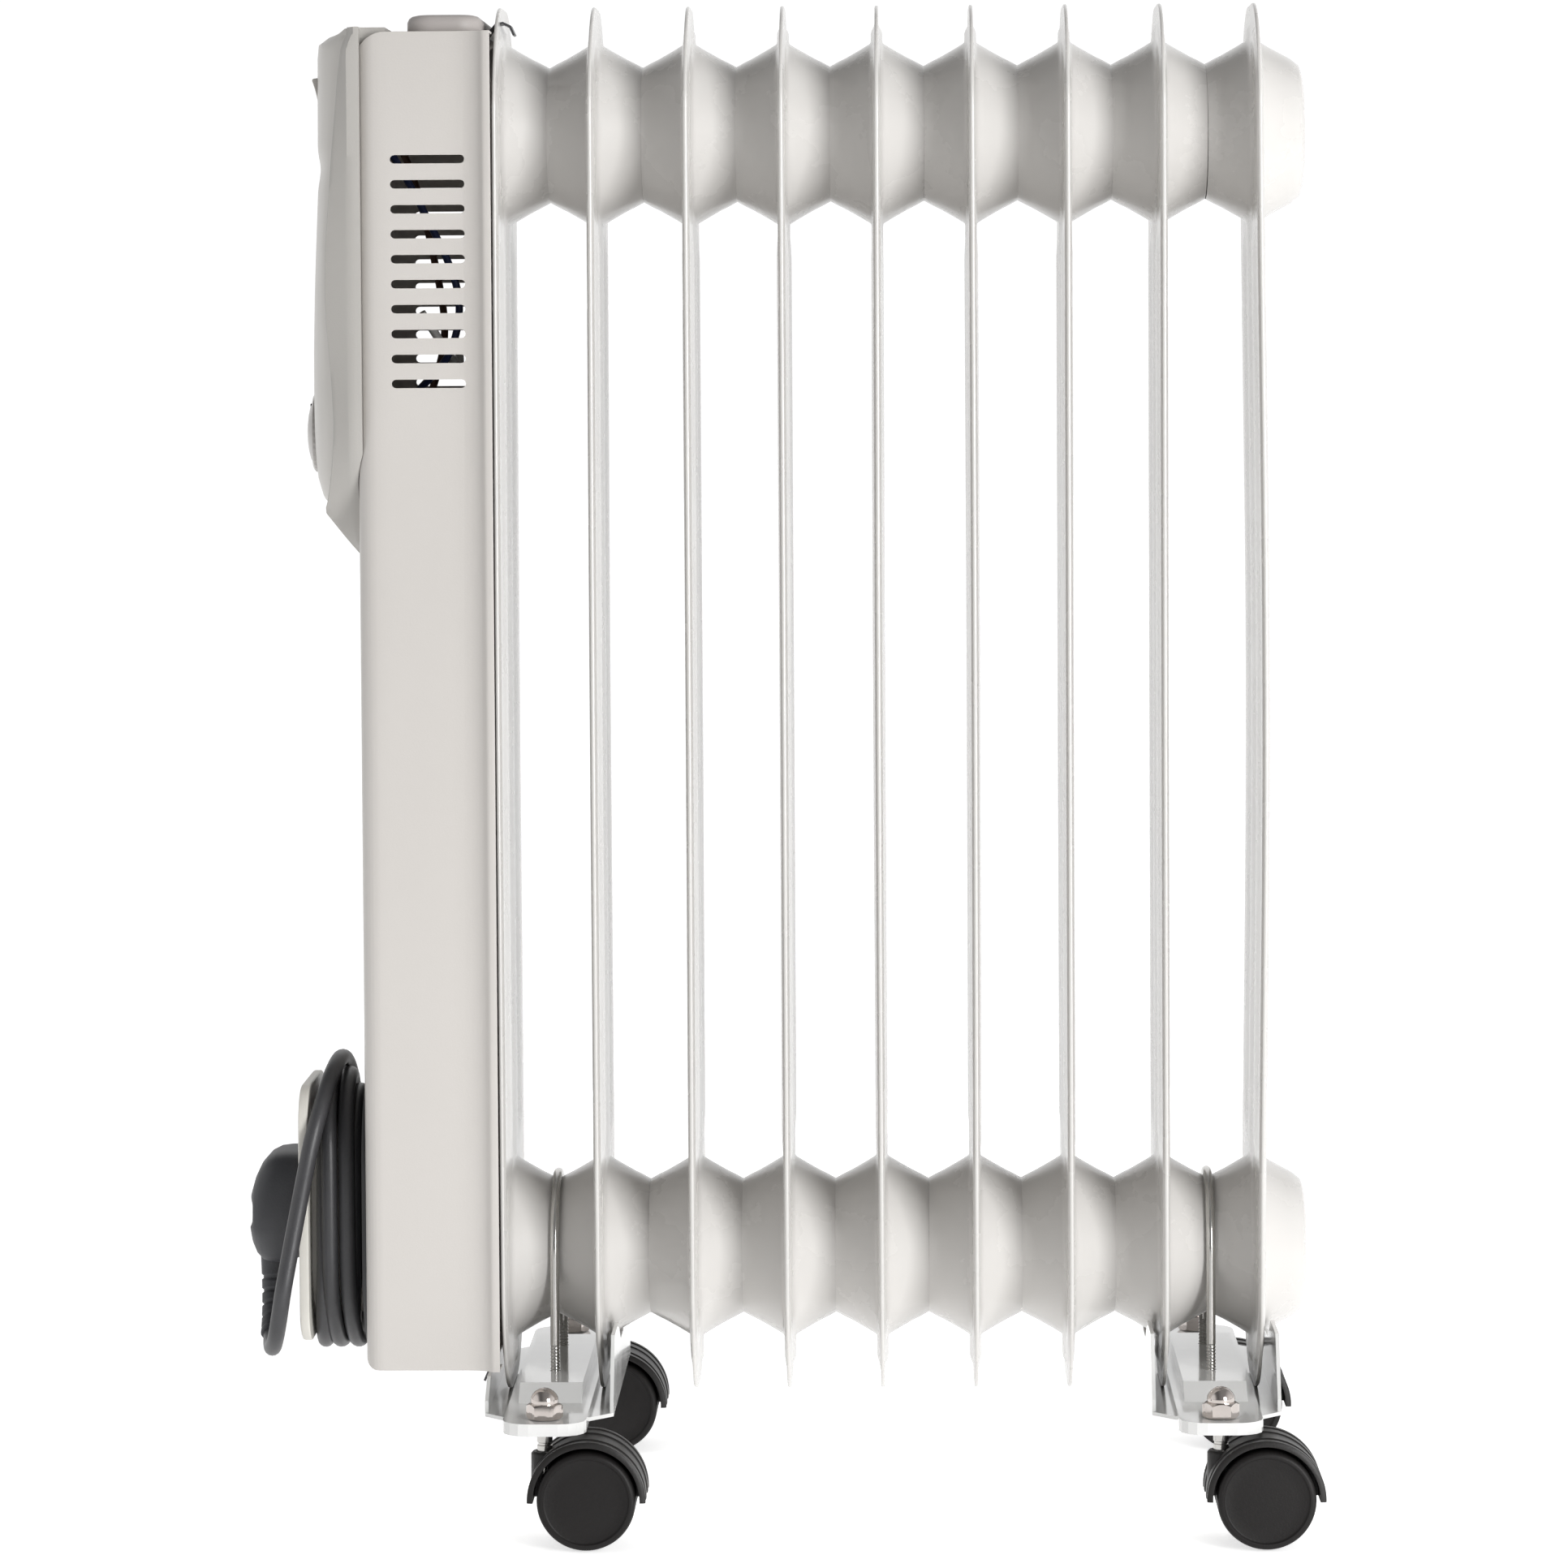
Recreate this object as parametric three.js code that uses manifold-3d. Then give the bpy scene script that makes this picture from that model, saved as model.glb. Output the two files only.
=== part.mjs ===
// Oil filled radiator heater: nine pressed fins on two headers, a sheet steel control housing with a
// plastic panel, a cord wrap with the stowed mains lead, and two caster brackets held by U-bolts.
// Millimetres, +Z up. X runs along the radiator: the control housing is at -X, the closed header
// ends at +X. The origin is on the floor, under the middle of the heater.
import * as THREE from "three";
import { mergeVertices } from "three/addons/utils/BufferGeometryUtils.js";
import Module from "manifold-3d";

// ---- driving dimensions ----
const GAP = 0.3; // clearance left between pieces that touch
const STACK_OFFSET = 32.6; // puts the middle of the heater's length at x = 0

const FIN_COUNT = 9;
const FIN_PITCH = 39.2;
const FIN_HEIGHT = 579;
const FIN_DEPTH = 120;
const FIN_CORNER = 48;
const FIN_BASE = 47.5; // lower edge of the fins above the floor
const FIN_SHEET = 1.6; // two sheets welded together at the rim
const CHANNEL_SPACING = 34;
const CHANNEL_WIDTH = 27;
const CHANNEL_HALF_THICKNESS = 2.4;
const SIDE_CHANNEL_LOW = 148;
const SIDE_CHANNEL_HIGH = 531;

const HEADER_LOW = 105;
const HEADER_HIGH = 574;
const COLLAR_RADIUS = 37.4; // where the fin flares into the header
const VALLEY_RADIUS = 28.5; // where neighbouring collars meet
const BORE_RADIUS = 27;
const END_REACH = 21; // closed header ends past the last fin
const END_FLAT_RADIUS = 24;
const HEADER_SIDES = 16;

const HOUSING_FRONT = -214;
const HOUSING_BACK = -161.2;
const HOUSING_HALF_DEPTH = 61;
const HOUSING_LOW = 62.5;
const HOUSING_HIGH = 614.8;
const HOUSING_WALL = 1;
const VENT_COUNT = 10;
const VENT_PITCH = 10.22;
const VENT_TOP = 562.6;
const VENT_LENGTH = 30.5;
const VENT_WIDTH = 3.4;
const VENT_X = -184;
const HANDLE_X = -178;
const CLIP_Y = -22;

const PANEL_LOW = 396.5;
const PANEL_HIGH = 616.8;
const KNOB_Z = 450;
const KNOB_RADIUS = 17;
const ROCKER_Z = 588;
const ROCKER_Y = 14;
const ROCKER_TILT = 0.14; // radians, upper end out
const ROCKER_PIVOT_X = -229.5;

const CORD_RADIUS = 3.5;
const GLAND_Y = 28; // the lead leaves the housing beside the hub, inside the winding
const GLAND_Z = 97;
const GLAND_TOP = 121;
const WRAP_Z = 122; // middle of the cord winding
const WRAP_STRAIGHT = 41;
const WRAP_INNER_RADIUS = 24.3;
const WRAP_OUTER_RADIUS = 38.9;
const WRAP_FRONT = -243.5;
const WRAP_PLATE = 4;
const WRAP_BASE_BACK = HOUSING_FRONT - GAP;
const WRAP_BASE_FRONT = WRAP_BASE_BACK - 2.8;

const PLUG_FACE = -246;
const PLUG_Y = 7;
const EARTH_PIN_Z = 135;
const LIVE_PIN_DROP = 22.2;
const LIVE_PIN_SPREAD = 11.1;

const BRACKET_FLOOR = 50.5;
const BRACKET_SHEET = 1.5;
const BRACKET_HALF_LENGTH = 117;
const BRACKET_LOW = 45.5;
const GUTTER = 47.2; // the fins stand in a gutter on each side of the floor
const BRACKET_HALF_FLOOR = 17;
const BRACKET_HALF_WIDTH = 26.5;
const BRACKET_WALL_TOP = 77;
const BRACKET_TROUGH_HALF = 74;
const SADDLE_TOP = 57; // the raised middle that the U-bolt pulls against
const SADDLE_HALF_LENGTH = 58;
const SADDLE_HALF_WIDTH = 13;
const ROD_RADIUS = 2;
const LEG_Y = 31; // the rod lies in the valley between two collars

const CASTER_Y = 104.5;
const CASTER_TRAIL = 17.5;
const WHEEL_RADIUS = 20;
const WHEEL_SIDES = 16;
const WHEEL_INNER = 3.6;
const WHEEL_OUTER = 19.5;
const HOOD_RADIUS = 24;
const STEM_RADIUS = 3.2;

// ---- materials ----
const finishes = {
  enamel: { color: 0xe9e6e1, roughness: 0.28, metalness: 0 },
  housingPaint: { color: 0xd9d5d0, roughness: 0.35, metalness: 0 },
  panelPlastic: { color: 0xd3cfca, roughness: 0.45, metalness: 0 },
  greyPlastic: { color: 0xb6b3ad, roughness: 0.5, metalness: 0 },
  bracketPaint: { color: 0xf3f2ef, roughness: 0.2, metalness: 0 },
  plated: { color: 0xb9b7b2, roughness: 0.3, metalness: 1 },
  nickel: { color: 0xaa968c, roughness: 0.2, metalness: 1 },
  blackPlastic: { color: 0x2e2b2a, roughness: 0.5, metalness: 0 },
  cordBlack: { color: 0x3a3a3d, roughness: 0.55, metalness: 0 },
  springSteel: { color: 0x4a4a4a, roughness: 0.4, metalness: 1 },
  phenolic: { color: 0x5a3a2a, roughness: 0.6, metalness: 0 },
};
const materials = {};
for (const [name, values] of Object.entries(finishes)) {
  materials[name] = new THREE.MeshStandardMaterial(values);
}

// ---- solids ----
const wasm = await Module();
wasm.setup();

/** A closed geometry as a manifold solid with its faces pointing out. */
function solid(geometry) {
  const bare = geometry.index ? geometry.toNonIndexed() : geometry.clone();
  for (const name of Object.keys(bare.attributes)) {
    if (name !== "position") bare.deleteAttribute(name);
  }
  const merged = mergeVertices(bare, 1e-4);
  const corners = merged.index.array;
  const build = (flip) => {
    const triangles = [];
    for (let i = 0; i < corners.length; i += 3) {
      const [a, b, c] = [corners[i], corners[i + 1], corners[i + 2]];
      if (a === b || b === c || c === a) continue;
      triangles.push(...(flip ? [a, c, b] : [a, b, c]));
    }
    const vertProperties = new Float32Array(merged.attributes.position.array);
    const triVerts = new Uint32Array(triangles);
    return new wasm.Manifold(new wasm.Mesh({ numProp: 3, vertProperties, triVerts }));
  };
  const made = build(false);
  return made.volume() < 0 ? build(true) : made;
}

/** A manifold solid as a geometry. */
function geometryOf(made) {
  const { numProp, vertProperties, triVerts } = made.getMesh();
  const count = vertProperties.length / numProp;
  const positions = new Float32Array(count * 3);
  for (let i = 0; i < count; i++) {
    positions.set(vertProperties.subarray(i * numProp, i * numProp + 3), i * 3);
  }
  const geometry = new THREE.BufferGeometry();
  geometry.setAttribute("position", new THREE.BufferAttribute(positions, 3));
  geometry.setIndex(new THREE.BufferAttribute(new Uint32Array(triVerts), 1));
  geometry.computeVertexNormals();
  return geometry;
}

const join = (first, ...others) => others.reduce((sum, other) => sum.add(other), first);
const cut = (first, ...others) => others.reduce((rest, other) => rest.subtract(other), first);

/** A box between two corners. */
function box([x0, y0, z0], [x1, y1, z1]) {
  const geometry = new THREE.BoxGeometry(x1 - x0, y1 - y0, z1 - z0);
  geometry.translate((x0 + x1) / 2, (y0 + y1) / 2, (z0 + z1) / 2);
  return solid(geometry);
}

// The directions that a flat outline's two axes and its extrusion take in the part.
const bases = {
  x: [new THREE.Vector3(0, 1, 0), new THREE.Vector3(0, 0, 1), new THREE.Vector3(1, 0, 0)],
  y: [new THREE.Vector3(1, 0, 0), new THREE.Vector3(0, 0, 1), new THREE.Vector3(0, -1, 0)],
  z: [new THREE.Vector3(1, 0, 0), new THREE.Vector3(0, 1, 0), new THREE.Vector3(0, 0, 1)],
};

/** An outline extruded along an axis from one coordinate to another, with chamfered ends if asked. */
function prism(axis, shape, from, to, { chamfer = 0, slope = chamfer, arcs = 2 } = {}) {
  const geometry = new THREE.ExtrudeGeometry(shape, {
    depth: to - from - 2 * chamfer,
    bevelEnabled: chamfer > 0,
    bevelThickness: chamfer,
    bevelSize: slope,
    bevelOffset: -slope,
    bevelSegments: 1,
    curveSegments: arcs,
  });
  geometry.translate(0, 0, chamfer + (axis === "y" ? -to : from));
  geometry.applyMatrix4(new THREE.Matrix4().makeBasis(...bases[axis]));
  return solid(geometry);
}

/** A rectangle with round corners, centred on (u, v), given by its half sides. */
function roundedRect(u, v, halfU, halfV, radius) {
  const shape = new THREE.Shape();
  const [right, top] = [halfU - radius, halfV - radius];
  shape.absarc(u + right, v + top, radius, 0, Math.PI / 2);
  shape.absarc(u - right, v + top, radius, Math.PI / 2, Math.PI);
  shape.absarc(u - right, v - top, radius, Math.PI, 1.5 * Math.PI);
  shape.absarc(u + right, v - top, radius, 1.5 * Math.PI, 2 * Math.PI);
  return shape;
}

/** A slot outline with half-round ends, upright if it is taller than wide. */
function obround(u, v, halfU, halfV) {
  const shape = new THREE.Shape();
  if (halfV > halfU) {
    shape.absarc(u, v + halfV - halfU, halfU, 0, Math.PI);
    shape.absarc(u, v - halfV + halfU, halfU, Math.PI, 2 * Math.PI);
  } else {
    shape.absarc(u + halfU - halfV, v, halfV, -Math.PI / 2, Math.PI / 2);
    shape.absarc(u - halfU + halfV, v, halfV, Math.PI / 2, 1.5 * Math.PI);
  }
  return shape;
}

const outline = (points) => new THREE.Shape(points.map(([u, v]) => new THREE.Vector2(u, v)));

/** A turned body about the line along the axis through the centre, from (along, radius) points. */
function turned(axis, centre, profile, sides = 16) {
  const points = profile.map(([along, radius]) => new THREE.Vector2(radius, along));
  const geometry = new THREE.LatheGeometry(points, sides);
  geometry.rotateY(Math.PI / sides);
  if (axis === "x") geometry.rotateZ(-Math.PI / 2);
  if (axis === "z") geometry.rotateX(Math.PI / 2);
  geometry.translate(...centre);
  return solid(geometry);
}

/** A plain round bar along an axis. */
function bar(axis, centre, radius, from, to, sides = 12) {
  return turned(axis, centre, [[from, 0], [from, radius], [to, radius], [to, 0]], sides);
}

/** A round rod along a smooth curve through the points. */
function rod(points, radius, steps, sides = 8) {
  const path = new THREE.CatmullRomCurve3(
    points.map((point) => new THREE.Vector3(...point)),
    false,
    "centripetal",
  );
  const section = new THREE.Shape();
  section.absarc(0, 0, radius, 0, 2 * Math.PI);
  const geometry = new THREE.ExtrudeGeometry(section, {
    steps,
    extrudePath: path,
    curveSegments: sides / 2,
    bevelEnabled: false,
  });
  return solid(geometry);
}

/** A body through closed rings of as many points each, from the lowest ring to the highest. */
function loft(rings) {
  const count = rings[0].length;
  const index = [];
  rings.slice(1).forEach((_, level) => {
    for (let i = 0; i < count; i++) {
      const a = level * count + i;
      const b = level * count + ((i + 1) % count);
      index.push(a, b, b + count, a, b + count, a + count);
    }
  });
  const last = (rings.length - 1) * count;
  for (let i = 1; i < count - 1; i++) {
    index.push(0, i + 1, i);
    index.push(last, last + i, last + i + 1);
  }
  const geometry = new THREE.BufferGeometry();
  geometry.setAttribute("position", new THREE.Float32BufferAttribute(rings.flat(2), 3));
  geometry.setIndex(index);
  return solid(geometry);
}

/** The value at a height in a table of [height, value] rows, straight between rows. */
function along(table, height) {
  if (height <= table[0][0]) return table[0][1];
  for (let i = 1; i < table.length; i++) {
    const [[low, start], [high, end]] = [table[i - 1], table[i]];
    if (height <= high) return start + ((end - start) * (height - low)) / (high - low);
  }
  return table[table.length - 1][1];
}

const heater = new THREE.Group();
const stack = new THREE.Group();
stack.position.x = STACK_OFFSET;
heater.add(stack);

/** Adds a named piece to the heater. */
function piece(name, made, finish) {
  const mesh = new THREE.Mesh(geometryOf(made), materials[finish]);
  mesh.name = name;
  stack.add(mesh);
}

// ---- fins and headers ----
const finX = (number) => (number - (FIN_COUNT + 1) / 2) * FIN_PITCH;
const LAST_FIN = finX(FIN_COUNT);

/** The raised outside of one header on a fin, from its left reach to its right reach. */
function collar(x, z, left, right) {
  const rightSide = right === "closed"
    ? [[17, 31], [END_REACH, END_FLAT_RADIUS], [END_REACH, 0]]
    : [[FIN_PITCH / 2 - GAP / 2, VALLEY_RADIUS], [FIN_PITCH / 2 - GAP / 2, 0]];
  const leftSide = left === "stub"
    ? [[-9, 0], [-9, 31]]
    : [[-FIN_PITCH / 2 + GAP / 2, 0], [-FIN_PITCH / 2 + GAP / 2, VALLEY_RADIUS]];
  const middle = [[-3, COLLAR_RADIUS], [3, COLLAR_RADIUS]];
  return turned("x", [x, 0, z], [...leftSide, ...middle, ...rightSide], HEADER_SIDES);
}

function fin(number) {
  const x = finX(number);
  const first = number === 1;
  const last = number === FIN_COUNT;
  const middle = FIN_BASE + FIN_HEIGHT / 2;
  const rim = roundedRect(0, middle, FIN_DEPTH / 2, FIN_HEIGHT / 2, FIN_CORNER);
  const plate = prism("x", rim, x - FIN_SHEET / 2, x + FIN_SHEET / 2);
  const channels = [-1, 0, 1].map((side) => {
    const low = side === 0 ? HEADER_LOW : SIDE_CHANNEL_LOW;
    const high = side === 0 ? HEADER_HIGH : SIDE_CHANNEL_HIGH;
    const shape = obround(side * CHANNEL_SPACING, (low + high) / 2, CHANNEL_WIDTH / 2, (high - low) / 2);
    const [from, to] = [x - CHANNEL_HALF_THICKNESS, x + CHANNEL_HALF_THICKNESS];
    return prism("x", shape, from, to, { chamfer: 1.5, slope: 5, arcs: 1 });
  });
  const collars = [HEADER_LOW, HEADER_HIGH].map((z) =>
    collar(x, z, first ? "stub" : "open", last ? "closed" : "open"),
  );
  const boreFrom = first ? -7 : -FIN_PITCH / 2;
  const boreTo = last ? END_REACH / 2 : FIN_PITCH / 2;
  const bore = bar("x", [x, 0, HEADER_LOW], BORE_RADIUS, boreFrom, boreTo);
  const made = cut(join(plate, ...channels, ...collars), bore);
  if (first) {
    const seat = bar("x", [x, 0, HEADER_LOW], 20, -10, -6, 16);
    const clipSlot = box([x - 2, CLIP_Y - 7, 617.4], [x + 2, CLIP_Y + 7, 621.6]);
    return cut(made, seat, clipSlot);
  }
  return made;
}

for (let number = 1; number <= FIN_COUNT; number++) {
  piece("fin_" + number, fin(number), "enamel");
}

/** The hairpin heating element that lies in the oil of the lower header. */
function heatingElement() {
  const [start, end] = [finX(1) + 0.6, LAST_FIN - 30];
  const legY = 11;
  const points = [start, start + 60, end - 14].map((x) => [x, -legY, HEADER_LOW]);
  for (const turn of [-0.6, 0, 0.6]) {
    const angle = (turn * Math.PI) / 2;
    points.push([end - legY + legY * Math.cos(angle), legY * Math.sin(angle), HEADER_LOW]);
  }
  points.push([end - 14, legY, HEADER_LOW], [start + 60, legY, HEADER_LOW], [start, legY, HEADER_LOW]);
  return rod(points, 4, 16);
}

/** The screwed plug that closes the lower header and carries the element's two terminals. */
function elementPlug() {
  const x = finX(1);
  const body = turned("x", [x, 0, HEADER_LOW], [
    [-13.4, 0], [-13.4, 23], [-9.4, 23], [-9.4, 19.6], [0, 19.6], [0, 0],
  ]);
  const terminals = [-11, 11].map((y) => bar("x", [x, y, HEADER_LOW], 2.5, -24, -13, 8));
  return join(body, ...terminals);
}

piece("heating_element", heatingElement(), "springSteel");
piece("element_plug", elementPlug(), "plated");

// ---- control housing ----
/** The outside of the housing, grown by a margin, or shrunk and run out of its open back. */
function housingBlock(margin, back = HOUSING_BACK + margin) {
  const [front, low, high] = [HOUSING_FRONT - margin, HOUSING_LOW - margin, HOUSING_HIGH + margin];
  const shape = new THREE.Shape();
  const [top, bottom] = [13 + margin, 4 + margin];
  shape.moveTo(back, low);
  shape.lineTo(back, high);
  shape.lineTo(front + top, high);
  shape.absarc(front + top, high - top, top, Math.PI / 2, Math.PI);
  shape.absarc(front + bottom, low + bottom, bottom, Math.PI, 1.5 * Math.PI);
  const half = HOUSING_HALF_DEPTH + margin;
  return prism("y", shape, -half, half);
}

function controlHousing() {
  const shell = cut(housingBlock(0), housingBlock(-HOUSING_WALL, HOUSING_BACK + 5));
  const vents = [];
  for (let row = 0; row < VENT_COUNT; row++) {
    const z = VENT_TOP - row * VENT_PITCH;
    const [halfLength, halfWidth] = [VENT_LENGTH / 2, VENT_WIDTH / 2];
    vents.push(box([VENT_X - halfLength, -70, z - halfWidth], [VENT_X + halfLength, 70, z + halfWidth]));
  }
  const panelWindow = box([-220, -38, 432], [-210, 38, 604]);
  const clipNotch = box([-166, CLIP_Y - 7, HOUSING_HIGH - 2], [-160, CLIP_Y + 7, HOUSING_HIGH + 1]);
  const handleCut = prism("z", obround(HANDLE_X, 0, 10.4, 38.4), 600, 620);
  const glandHole = bar("x", [0, GLAND_Y, GLAND_Z], 4, -220, -205);
  return cut(shell, ...vents, panelWindow, clipNotch, handleCut, glandHole);
}

/** The grip on the housing's top: a slab with a finger slot whose walls reach down inside. */
function carryHandle() {
  const base = HOUSING_HIGH + GAP;
  const slab = prism("z", roundedRect(HANDLE_X, 0, 15.5, 50, 9), base, 622.3, { chamfer: 2 });
  const skirt = prism("z", obround(HANDLE_X, 0, 10, 38), 594, base + 2);
  const slot = prism("z", obround(HANDLE_X, 0, 8.2, 36.2), 590, 630);
  return cut(join(slab, skirt), slot);
}

/** A strip of spring steel bent in the XZ plane along the points. */
function strip(points, y, halfWidth, thickness) {
  const path = points.map(([x, z]) => new THREE.Vector2(x, z));
  const sides = [1, -1].map((side) =>
    path.map((point, i) => {
      const before = path[Math.max(i - 1, 0)];
      const after = path[Math.min(i + 1, path.length - 1)];
      const across = after.clone().sub(before).normalize().rotateAround(new THREE.Vector2(), Math.PI / 2);
      return point.clone().addScaledVector(across, (side * thickness) / 2);
    }),
  );
  return prism("y", new THREE.Shape([...sides[0], ...sides[1].reverse()]), y - halfWidth, y + halfWidth);
}

const clipTop = [
  [-166.8, 598], [-166.6, 608], [-164.6, 612.2], [-161.6, 614.2], [-160, 616.6],
  [-157.8, 619.2], [-155, 619.8], [-152, 618.4], [-150.4, 614.8],
];
const clipBottom = [[-186, 61.5], [-171, 61.4], [-167.4, 59], [-166.6, 53], [-168.6, 48.6]];
piece("control_housing", controlHousing(), "housingPaint");
piece("carry_handle", carryHandle(), "greyPlastic");
piece("top_clip", strip(clipTop, CLIP_Y, 6, 1), "springSteel");
piece("bottom_clip", strip(clipBottom, 0, 8, 1), "springSteel");

// ---- control panel ----
// Where the panel's side seam and its crown stand along X, at each height.
const seamLine = [
  [396, -214.6], [405, -220.6], [418, -229.4], [421, -228.2], [430, -226.3], [441, -224.9], [455, -224.1],
  [468, -224.6], [485, -225.9], [509, -227.2], [527, -226.8], [545, -225.4], [573, -223.2], [600, -220.8],
  [617, -216.9],
];
const crownLine = [
  [419, -231.3], [431, -235.2], [450, -236.2], [485, -236], [530, -234.4],
  [553, -233.2], [558, -232.2], [563, -232.2], [568, -233.2], [617, -232.6],
];
const FASCIA_HALF = 50;
const FASCIA_BACK = -217.7;
const FASCIA_LEAST_DEPTH = 1.2;
const FASCIA_SHEET = 2.4;
const BEZEL_HALF = 62.6;
const BEZEL_FOOT = 395;

/** Half the width of a shield-shaped outline with a half-elliptic foot. */
function shieldHalf(half, foot, shoulder, z) {
  if (z >= shoulder) return half;
  return half * Math.sqrt(1 - ((shoulder - z) / (shoulder - foot)) ** 2);
}

const panelLevels = [441, 455, 468, 485, 509, 527, 553, 558, 563, 568, 600, PANEL_HIGH];

/** The fascia's body, moved in by a margin on its front and its sides. */
function fasciaBlock(inset, back) {
  const low = 419.6 + inset;
  const levels = [low, low + 2, low + 6, low + 12, ...panelLevels.slice(0, -1), PANEL_HIGH - inset];
  const rings = levels.map((z) => {
    const half = shieldHalf(FASCIA_HALF, 418, 468, z) - inset;
    const seam = Math.min(along(seamLine, z), FASCIA_BACK - FASCIA_LEAST_DEPTH) + inset;
    const crown = along(crownLine, z) + inset;
    const ring = [[back, half, z], [back, -half, z]];
    for (let step = -2; step <= 2; step++) {
      const across = step / 2;
      ring.push([crown + (seam - crown) * across ** 2, half * across, z]);
    }
    return ring;
  });
  return loft(rings);
}

function bezelBlock() {
  const levels = [PANEL_LOW, 400, 405, 411, 418, 426, ...panelLevels];
  const rings = levels.map((z) => {
    const half = shieldHalf(BEZEL_HALF, BEZEL_FOOT, 466, z);
    const seam = along(seamLine, z);
    const cheek = Math.max(-217, seam + 3);
    const side = [[-211.8, half], [cheek, half * 0.994], [seam + 2, half * 0.94], [seam, half * 0.84]];
    const left = side.map(([x, y]) => [x, y, z]);
    const right = side.map(([x, y]) => [x, -y, z]).reverse();
    return [...left, ...right];
  });
  return loft(rings);
}

/** The shield outline of the fascia's pocket, seen from the front. */
function shieldOutline(half, foot, shoulder, top) {
  const shape = new THREE.Shape();
  shape.moveTo(half, top);
  shape.lineTo(-half, top);
  shape.absellipse(0, shoulder, half, shoulder - foot, Math.PI, 2 * Math.PI);
  return shape;
}

function panelBezel() {
  const lip = box([-217, -56, HOUSING_HIGH + GAP], [-201.5, 56, PANEL_HIGH + 0.5]);
  const pocket = prism("x", shieldOutline(FASCIA_HALF + GAP, 417.4, 468, 630), -245, -217.4, { arcs: 6 });
  const windowCut = box([-225, -38, 432], [-200, 38, 604]);
  return cut(join(bezelBlock(), lip), housingBlock(GAP), pocket, windowCut);
}

function controlFascia() {
  const shell = cut(fasciaBlock(0, FASCIA_BACK), fasciaBlock(FASCIA_SHEET, FASCIA_BACK + 8));
  const knobHole = bar("x", [0, 0, KNOB_Z], KNOB_RADIUS + 0.8, -245, -215, 24);
  const rockerHoles = [-1, 1].map((side) => {
    const y = side * ROCKER_Y;
    return box([-245, y - 7.3, ROCKER_Z - 11.3], [-220, y + 7.3, ROCKER_Z + 11.3]);
  });
  return cut(shell, knobHole, ...rockerHoles);
}

/** The thermostat's turning knob: a skirt, a domed cap and a raised pointer. */
function thermostatKnob() {
  const body = turned("x", [0, 0, KNOB_Z], [
    [-226, 3.4], [-226, KNOB_RADIUS], [-237.6, KNOB_RADIUS - 0.6], [-238.4, 14], [-240, 9],
    [-240.4, 0], [-230, 0], [-230, 3.4], [-226, 3.4],
  ], 24);
  const pointer = box([-239.6, -1.2, KNOB_Z + 4], [-236, 1.2, KNOB_Z + 15.8]);
  return join(body, pointer);
}

/** The thermostat behind the panel, with the shaft that carries the knob. */
function thermostatBody() {
  const block = box([-222, -17, KNOB_Z - 17], [-196, 17, KNOB_Z + 17]);
  return join(block, bar("x", [0, 0, KNOB_Z], 3, -229.6, -215));
}

/** One rocker, turned about its pivot so that its upper end stands out. */
function rocker(side) {
  const y = side * ROCKER_Y;
  const face = outline([[-3.2, 0], [-4.4, -10.2], [2.6, -9], [4.2, 0], [2.6, 9], [-4.4, 10.2]]);
  const geometry = new THREE.ExtrudeGeometry(face, { depth: 13, bevelEnabled: false });
  geometry.translate(0, 0, -6.5);
  geometry.applyMatrix4(new THREE.Matrix4().makeBasis(...bases.y));
  geometry.rotateY(-ROCKER_TILT);
  geometry.translate(ROCKER_PIVOT_X, y, ROCKER_Z);
  return solid(geometry);
}

/** The double switch module behind the rockers, with a well for each. */
function switchBlock() {
  const block = box([-226.5, -23, ROCKER_Z - 14], [-215, 23, ROCKER_Z + 14]);
  const wells = [-1, 1].map((side) => {
    const y = side * ROCKER_Y;
    return box([-240, y - 7, ROCKER_Z - 11], [-221, y + 7, ROCKER_Z + 11]);
  });
  return cut(block, ...wells);
}

piece("panel_bezel", panelBezel(), "greyPlastic");
piece("control_fascia", controlFascia(), "panelPlastic");
piece("thermostat_knob", thermostatKnob(), "greyPlastic");
piece("thermostat_body", thermostatBody(), "phenolic");
piece("rocker_1", rocker(-1), "panelPlastic");
piece("rocker_2", rocker(1), "panelPlastic");
piece("switch_block", switchBlock(), "blackPlastic");

// ---- cord wrap and mains lead ----
/** The stadium outline of the hub, the winding or the flange, across Y and up Z. */
const wrapOutline = (radius) => obround(0, WRAP_Z, radius, WRAP_STRAIGHT / 2 + radius);

/** The plug's three flat pins as [y, z, half width, half height, length], grown by a margin. */
function pins(margin) {
  const rows = [
    [PLUG_Y, EARTH_PIN_Z, 2, 4, 22.7],
    [PLUG_Y - LIVE_PIN_SPREAD, EARTH_PIN_Z - LIVE_PIN_DROP, 3.2, 2, 17.7],
    [PLUG_Y + LIVE_PIN_SPREAD, EARTH_PIN_Z - LIVE_PIN_DROP, 3.2, 2, 17.7],
  ];
  return rows.map(([y, z, halfY, halfZ, length]) => {
    const [dy, dz] = [halfY + margin, halfZ + margin];
    return box([PLUG_FACE - 3, y - dy, z - dz], [PLUG_FACE + length + margin, y + dy, z + dz]);
  });
}

/** The front plate that keeps the cord on, and the hub that the cord is wound on. */
function cordWrap() {
  const plateShape = roundedRect(0, WRAP_Z + 1, 39, 54, 16);
  const plate = prism("x", plateShape, WRAP_FRONT, WRAP_FRONT + WRAP_PLATE, { arcs: 3 });
  const hubShape = wrapOutline(WRAP_INNER_RADIUS - GAP);
  const hub = prism("x", hubShape, WRAP_FRONT + 1, WRAP_BASE_FRONT - GAP, { arcs: 8 });
  return cut(join(plate, hub), ...pins(GAP));
}

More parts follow.
